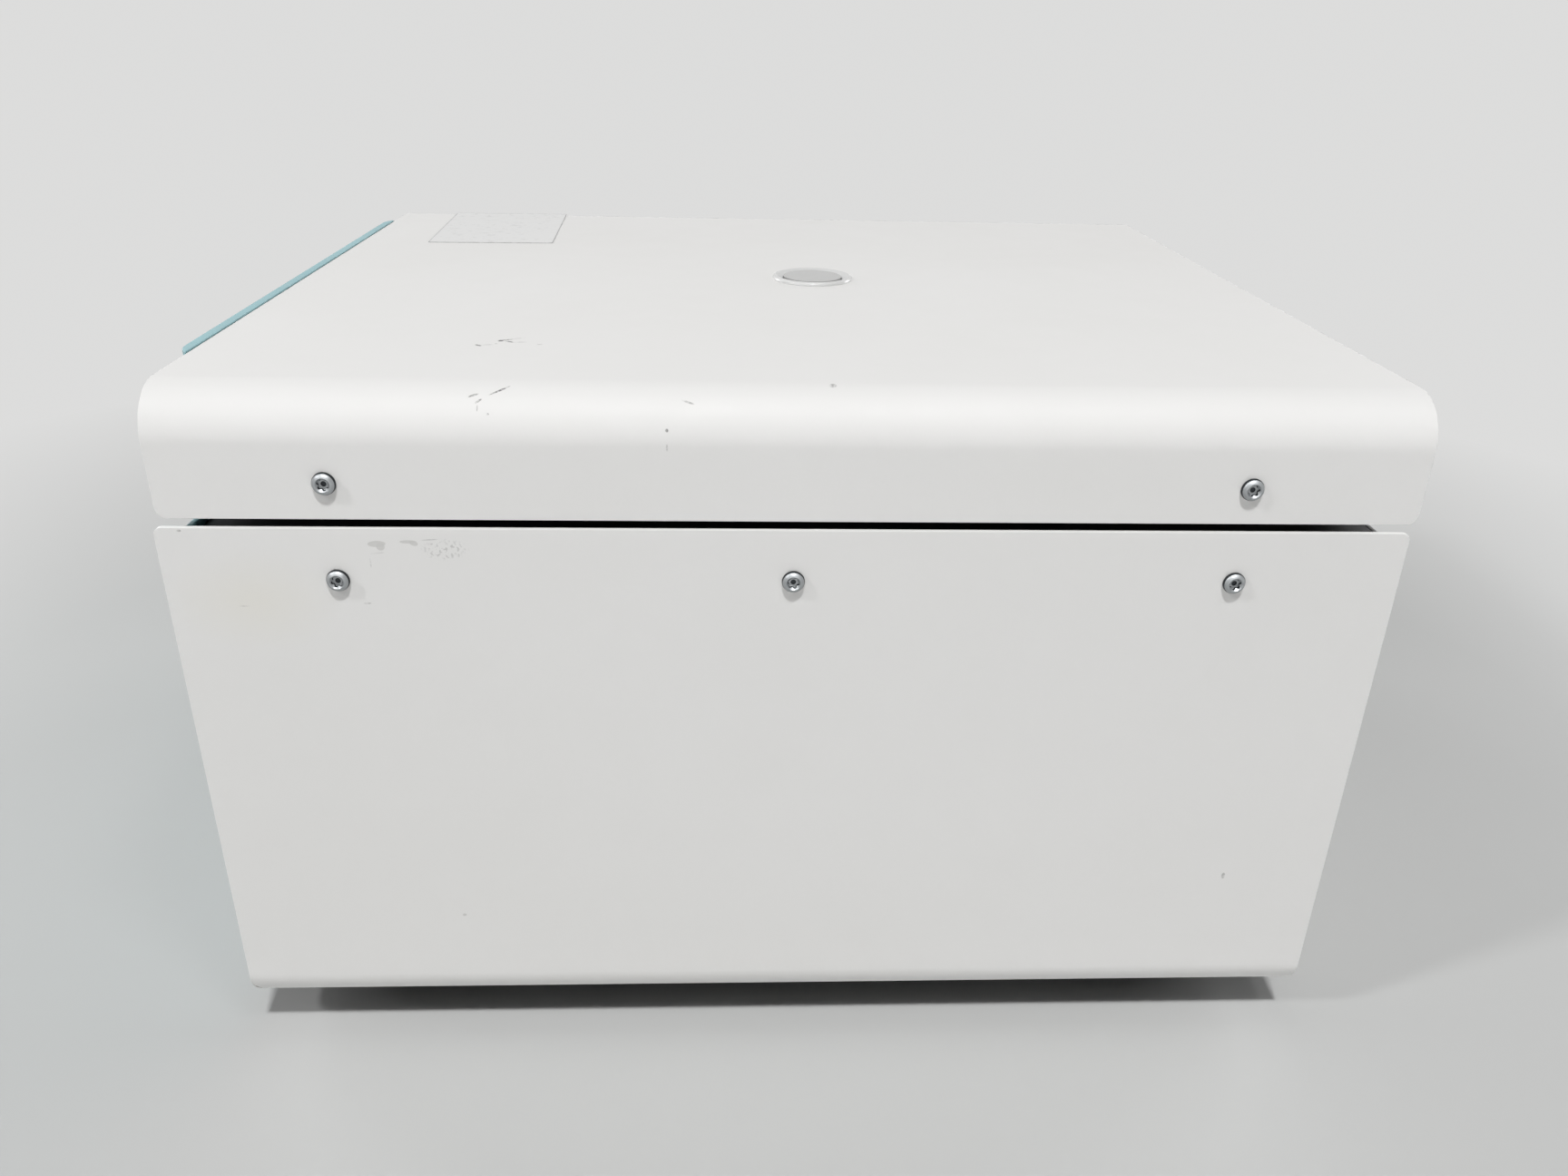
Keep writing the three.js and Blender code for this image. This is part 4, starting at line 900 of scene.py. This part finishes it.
def makeRoundPieces():
    for node, (name, axis, steps, width) in roundPieces.items():
        standFor(turnedCopy(node, name, axis, steps, width * mm), node)


# Grooves round a knob or nut: every other strip of its side, past the least radius, is pushed in
nut = {"steps": 72, "flutes": (14.5 * mm, 18, 0.8 * mm), "edge": (0.25 * mm, 2, 35, 30)}


def fluteSide(piece, middle, axis, least, count, depth):
    along = alongAxis[axis]
    startEditing(piece)

    def onSide(point, normal):
        offset = point - middle
        offset -= along * offset.dot(along)
        if offset.length < least or abs(normal.dot(along)) > sideways:
            return False
        first = alongAxis[sectionSide[axis]]
        angle = math.atan2(offset.dot(along.cross(first)), offset.dot(first)) % (2 * math.pi)
        return int(angle / (2 * math.pi) * count * 2 + 0.001) % 2 == 0    # the 0.001 settles ties

    pick(piece, "FACE", onSide)
    bpy.ops.mesh.inset(thickness=depth / 2, depth=-depth)
    stopEditing()


def makeNut():
    piece = turnedCopy("rotor_nut", "rotor_cap_nut", "z", nut["steps"], 0)
    fluteSide(piece, middleOf("rotor_nut"), "z", *nut["flutes"])
    softenEdges(piece, *nut["edge"])
    standFor(piece, "rotor_nut")


# Swing-out buckets: spun cups with a groove on each side for the rotor's pins
bucket = {
    "steps": 72, "groove": 3.25 * mm, "grooveSides": 32, "bite": 2.95 * mm, "collar": 22 * mm,
    "slotDown": 20 * mm, "rim": 0.5 * mm,
}


def makeBuckets():
    for number in range(1, 5):
        node = f"bucket_{number}"
        pivot = pivotOf[f"bucket_swing_{number}"]
        pinAxis, otherAxis = ("y", "x") if number % 2 else ("x", "y")
        piece = turnedCopy(node, f"swing_{node}", "z", bucket["steps"], 0, otherAxis)
        across, along = alongAxis[pinAxis], alongAxis[otherAxis]
        half = bucket["bite"] / 2
        for sign in (-1, 1):
            root = pivot + across * sign * (bucket["collar"] - half)
            long = bucket["bite"] + 2 * tiny
            carve(piece, addRod("groove", root, bucket["groove"], long, pinAxis, bucket["grooveSides"]))
            span = across * (half + tiny) + along * bucket["groove"]
            below = Vector((0, 0, bucket["slotDown"]))
            carve(piece, addBlock("slot", root - span - below, root + span))
        joinPoints(piece, tiny)
        splitFlats(piece)
        softenEdges(piece, bucket["rim"])
        standFor(piece, node)


# Display: digits of seven lit strokes, each named by a letter
display = {
    "edge": 0.5 * mm, "high": 17 * mm, "wide": 9.5 * mm, "stroke": 2.1 * mm, "gap": 0.12, "corner": (0.32, 2),
    "pitch": 1.38, "fromLeft": 10 * mm, "fromRight": 33 * mm, "speed": "3500", "minutes": "15",
    "color": (0.35, 0.85, 0.80), "rough": 0.3, "glow": (600, 1), "glowRange": (0.2, 0.8, 0.68, 0.8),
}
litStrokes = {"0": "abcdef", "1": "bc", "3": "abgcd", "5": "afgcd"}
printThick = 0.12 * mm    # how far digits and signs stand out


def makeNumber(name, text, left, low, face, finish):
    wide, high, stroke = display["wide"], display["high"], display["stroke"]
    gap = stroke * display["gap"]
    corner, cornerSteps = display["corner"]
    half = high / 2
    strokes = {
        "a": (gap, high - stroke, wide - gap, high), "b": (wide - stroke, half + gap, wide, high - gap),
        "c": (wide - stroke, gap, wide, half - gap), "d": (gap, 0, wide - gap, stroke),
        "e": (0, gap, stroke, half - gap), "f": (0, half + gap, stroke, high - gap),
        "g": (gap, half - stroke / 2, wide - gap, half + stroke / 2),
    }
    parts = []
    for place, digit in enumerate(text):
        x = left + place * wide * display["pitch"]
        for letter in litStrokes[digit]:
            x0, z0, x1, z1 = strokes[letter]
            part = addBlock("stroke", (x + x0, face - printThick, low + z0), (x + x1, face, low + z1))
            startEditing(part)
            pick(part, "EDGE", lambda a, b: near(a.x, b.x) and near(a.z, b.z))
            bpy.ops.mesh.bevel(offset=stroke * corner, segments=cornerSteps, affect="EDGES")
            stopEditing()
            parts.append(part)
    piece = join(name, parts)
    softenEdges(piece, 0)
    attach(piece, "base")
    piece.data.materials.append(finish)


def litFinish(name):
    material, nodes, links, shader = newFinish(name, display["color"], display["rough"])
    glow = addRange(nodes, links, addNoise(nodes, links, *display["glow"]), *display["glowRange"])
    shader.inputs["Emission Color"].default_value = (*display["color"], 1)
    links.new(glow, shader.inputs["Emission Strength"])
    return material


def makeDisplay():
    low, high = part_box("display_window")
    softCopy("display_window", "display_glass", display["edge"])
    lit = litFinish("lit_digits")
    base = low.z + (high.z - low.z - display["high"]) / 2
    makeNumber("speed_digits", display["speed"], low.x + display["fromLeft"], base, low.y, lit)
    makeNumber("minute_digits", display["minutes"], high.x - display["fromRight"], base, low.y, lit)


# A flat sign on a face that looks along -Y, from points of (x, z)
def printShape(name, points, face, body, finish):
    deselect()
    bpy.ops.mesh.primitive_circle_add(vertices=len(points), radius=mm, fill_type="NGON")
    piece = bpy.context.object
    piece.name = name
    for vertex, (x, z) in zip(piece.data.vertices, points):
        vertex.co = Vector((x, face, z))
    startEditing(piece, everything=True)
    bpy.ops.mesh.normals_make_consistent(inside=False)
    bpy.ops.mesh.extrude_region_move(TRANSFORM_OT_translate={"value": (0, -printThick, 0)})
    bpy.ops.mesh.select_all(action="SELECT")
    bpy.ops.mesh.normals_make_consistent(inside=False)
    stopEditing()
    softenEdges(piece, 0)
    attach(piece, body)
    piece.data.materials.append(finish)
    return piece


# Keys with plain signs, in millimetres: a triangle to start, a square to stop, a raised lid
keyEdge = (1.4 * mm, 3)
keySigns = {
    "start_key": [[(-3.0, -3.4), (3.6, 0), (-3.0, 3.4)]],
    "stop_key": [[(-3.0, -3.0), (3.0, -3.0), (3.0, 3.0), (-3.0, 3.0)]],
    "lid_key": [[(-4.5, -3.4), (4.5, -3.4), (4.5, -2.2), (-4.5, -2.2)],
                [(-4.5, -1.4), (-4.0, -2.0), (4.2, 2.2), (3.7, 3.0)]],
}


def makeKeys():
    for node, outlines in keySigns.items():
        softCopy(node, node.replace("key", "button"), *keyEdge)
        middle, face = middleOf(node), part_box(node)[0].y
        for number, outline in enumerate(outlines):
            points = [(middle.x + x * mm, middle.z + z * mm) for x, z in outline]
            printShape(f"{node}_sign_{number + 1}", points, face, bodyOf[node], finishes["dark_print"])


# Speed knob: its flutes and pointer, and the ticks round it, the minor ones shorter and thinner
knob = {
    "steps": 96, "flutes": (16.5 * mm, 24, 0.7 * mm), "edge": (0.3 * mm, 2, 35, 30), "pointerHalf": 0.7 * mm,
    "pointer": (6 * mm, 15.5 * mm), "ticks": 21, "sweep": 135, "tickCircle": 22.5 * mm,
    "major": (0.35 * mm, 3.0 * mm), "minor": (0.2 * mm, 1.65 * mm),
}


# The corners of a bar that runs out from the knob's middle, at an angle from upright
def barOutline(middle, angle, half, inner, outer):
    out = Vector((math.sin(angle), 0, math.cos(angle)))
    side = Vector((math.cos(angle), 0, -math.sin(angle))) * half
    corners = [out * inner - side, out * inner + side, out * outer + side, out * outer - side]
    return [(middle.x + corner.x, middle.z + corner.z) for corner in corners]


def makeKnob():
    middle, face = middleOf("speed_knob"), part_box("speed_knob")[0].y
    piece = turnedCopy("speed_knob", "speed_dial", "y", knob["steps"], 0)
    fluteSide(piece, middle, "y", *knob["flutes"])
    softenEdges(piece, *knob["edge"])
    standFor(piece, "speed_knob")
    pointer = barOutline(middle, 0, knob["pointerHalf"], *knob["pointer"])
    printShape("dial_pointer", pointer, face, "speed_knob", finishes["dark_print"])
    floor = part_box("display_window")[0].y
    start = knob["tickCircle"]
    ticks = []
    for number in range(knob["ticks"]):
        angle = math.radians(knob["sweep"] * (2 * number / (knob["ticks"] - 1) - 1))
        half, long = knob["minor" if number % 2 else "major"]
        outline = barOutline(middle, angle, half, start, start + long)
        ticks.append(printShape(f"tick_{number}", outline, floor, "base", finishes["white_print"]))
    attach(join("dial_ticks", ticks), "base")


# Nodes kept as they are but for their edges: name, rounding in millimetres, and steps where not two
rearPieces = {"rear_panel": ("rear_sheet", 0.25), "mains_inlet": ("inlet_socket", 0.8)}
softPieces = {
    "switch_body": ("switch_frame", 0.5), "power_rocker": ("rocker_cap", 0.5),
    "front_panel": ("front_console", 0.9, 3), "lid_front_trim": ("lid_nose", 0.35),
    "lid_liner": ("lid_tray", 0.6), "top_deck": ("deck_sheet", 0.4),
    "chassis_plate": ("chassis_channel", 0.4), "lock_housing": ("lock_block", 0.6),
    "lid_striker": ("striker_tongue", 0.3), "control_board": ("circuit_card", 0.1, 1),
    "rotor_head": ("swing_rotor", 0.6),
    **{f"hinge_{part}_{side}": (f"hinge_{shape}_{side}", 0.35)
       for side in ("left", "right") for part, shape in (("bracket", "base"), ("leaf", "arm"))},
}
dividedAt = {"front_panel": ("start_key", "speed_knob")}    # whose middles the flat faces part at


def makeSoftPieces(table):
    for node, (name, width, *segments) in table.items():
        heights = [middleOf(other).z for other in dividedAt.get(node, ())]
        softCopy(node, name, width * mm, *segments, heights=heights)


# The mains inlet's three pins
inlet = {
    "pinHalf": (1.0 * mm, 2.0 * mm), "pinFrom": 16 * mm, "pinLong": 13 * mm, "pinEdge": 0.45 * mm,
    "pinPlaces": [(-7 * mm, 1.5 * mm), (0, -2.5 * mm), (7 * mm, 1.5 * mm)],
}


def makeInletPins():
    middle = middleOf("mains_inlet")
    halfX, halfZ = inlet["pinHalf"]
    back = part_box("mains_inlet")[1].y - inlet["pinFrom"]
    front = back + inlet["pinLong"]
    pins = []
    for x, z in inlet["pinPlaces"]:
        centre = Vector((middle.x + x, 0, middle.z + z))
        pin = addBlock("pin", centre + Vector((-halfX, back, -halfZ)), centre + Vector((halfX, front, halfZ)))
        softenEdges(pin, inlet["pinEdge"])
        pins.append(pin)
    pins = join("inlet_pins", pins)
    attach(pins, "base")
    pins.data.materials.append(finishes["plain_steel"])


# Camera: place in metres, angles in radians, focal length and frame in pixels, sensor in millimetres
view = {
    "place": (0.57541, -0.02206, 0.38806), "yaw": -0.0492, "pitch": 0.4443, "roll": 0.024,
    "focal": 1342, "frameWidth": 1728, "sensor": 36, "clip": 0.01,
}


def makeCamera():
    yaw, pitch = view["yaw"], view["pitch"]
    ahead = -Vector((math.cos(yaw) * math.cos(pitch), math.sin(yaw) * math.cos(pitch), math.sin(pitch)))
    data = bpy.data.cameras.new("camera")
    camera = bpy.data.objects.new("camera", data)
    bpy.context.scene.collection.objects.link(camera)
    camera.rotation_mode = "QUATERNION"
    camera.location = view["place"]
    camera.rotation_quaternion = ahead.to_track_quat("-Z", "Y") @ Quaternion((0, 0, 1), view["roll"])
    data.sensor_width = view["sensor"]
    data.lens = view["focal"] / view["frameWidth"] * view["sensor"]
    data.clip_start = view["clip"]
    bpy.context.scene.camera = camera


# Near the machine the floor takes light and shadow, and far off it fades into the plain background
studio = {
    "floor": (0.525, 0.53, 0.525), "floorRadius": 6, "floorSides": 96, "floorRough": 0.6,
    "fade": (0.5, 0.95), "background": (0.72, 0.72, 0.715), "above": 0.70, "sky": (0.55, 1.0),
}


def seenRays(nodes, links):
    path = nodes.new("ShaderNodeLightPath")
    rays = addMath(nodes, links, "MAXIMUM", path.outputs["Is Camera Ray"], path.outputs["Is Glossy Ray"])
    return addMath(nodes, links, "MAXIMUM", rays, path.outputs["Is Transmission Ray"])


def mixShaders(nodes, links, share, shaders, output):
    mix = nodes.new("ShaderNodeMixShader")
    for socket, value in zip(mix.inputs, (share, *shaders)):
        links.new(value, socket)
    links.new(mix.outputs["Shader"], nodes[output].inputs["Surface"])


def makeFloor():
    deselect()
    bpy.ops.mesh.primitive_circle_add(
        vertices=studio["floorSides"], radius=studio["floorRadius"], fill_type="NGON",
        location=(0, 0, cadLow.z))
    floor = bpy.context.object
    floor.name = "floor"
    material, nodes, links, shader = newFinish("floor", studio["floor"], studio["floorRough"])
    coords = nodes.new("ShaderNodeTexCoord")
    distance = nodes.new("ShaderNodeVectorMath")
    distance.operation = "LENGTH"
    links.new(coords.outputs["Object"], distance.inputs[0])
    far = addRange(nodes, links, distance.outputs["Value"], *studio["fade"], 0, 1)
    plain = nodes.new("ShaderNodeEmission")
    plain.inputs["Color"].default_value = (*studio["background"], 1)
    share = addMath(nodes, links, "MULTIPLY", far, seenRays(nodes, links))
    mixShaders(nodes, links, share, (shader.outputs["BSDF"], plain.outputs["Emission"]), "Material Output")
    floor.data.materials.append(material)


# Soft light from above only, so the gaps stay dark
def makeWorld():
    world = bpy.data.worlds.new("studio")
    bpy.context.scene.world = world
    world.use_nodes = True
    nodes, links = world.node_tree.nodes, world.node_tree.links
    light = nodes["Background"]
    upward = splitCoords(nodes, links, "Generated")["Z"]
    height = addRange(nodes, links, upward, *studio["sky"], 0, studio["above"])
    links.new(height, light.inputs["Strength"])
    seen = nodes.new("ShaderNodeBackground")
    seen.inputs["Color"].default_value = (*studio["background"], 1)
    seen.inputs["Strength"].default_value = 1
    shaders = (light.outputs["Background"], seen.outputs["Background"])
    mixShaders(nodes, links, seenRays(nodes, links), shaders, "World Output")


# Lamps: degrees round from the right-hand side, degrees up, distance and size in metres, power in watts
lampAim = (0, 0, 0.13)
lamps = [
    ("lamp_high", 1, 64, 4.2, 0.26, 112), ("lamp_high_right", 38, 60, 4.2, 0.6, 13),
    ("lamp_left", -66, 38, 4.2, 0.35, 44), ("lamp_low_front", 4, 4, 3.0, 0.6, 13),
    ("lamp_low_left", -128, 14, 3.0, 1.2, 24), ("lamp_low_right", 122, 14, 3.0, 1.4, 28),
]


def makeLamps():
    aim = Vector(lampAim)
    for name, around, up, distance, size, power in lamps:
        around, up = math.radians(around), math.radians(up)
        data = bpy.data.lights.new(name, "AREA")
        data.energy = power
        data.size = size
        lamp = bpy.data.objects.new(name, data)
        bpy.context.scene.collection.objects.link(lamp)
        lamp.visible_camera = False
        away = Vector((math.cos(up) * math.cos(around), math.cos(up) * math.sin(around), math.sin(up)))
        lamp.location = aim + away * distance
        lamp.rotation_mode = "QUATERNION"
        lamp.rotation_quaternion = (-away).to_track_quat("-Z", "Y")


makeCamera()
makeFloor()
makeWorld()
makeLamps()
makeFinishes()
makeLidCover()
makeBaseCover()
print("case sheets made")
makeScrews()
makeHingeScrews()
print("screws made")
makePort()
makeLabel()
makeRoundPieces()
print("round pieces made")
makeNut()
makeBuckets()
print("rotor pieces made")
makeDisplay()
makeKeys()
makeKnob()
print("console made")
makeSoftPieces(rearPieces)
makeInletPins()
makeSoftPieces(softPieces)
print("panels and inner pieces made")

bpy.context.scene.view_settings.view_transform = "Standard"
deselect()
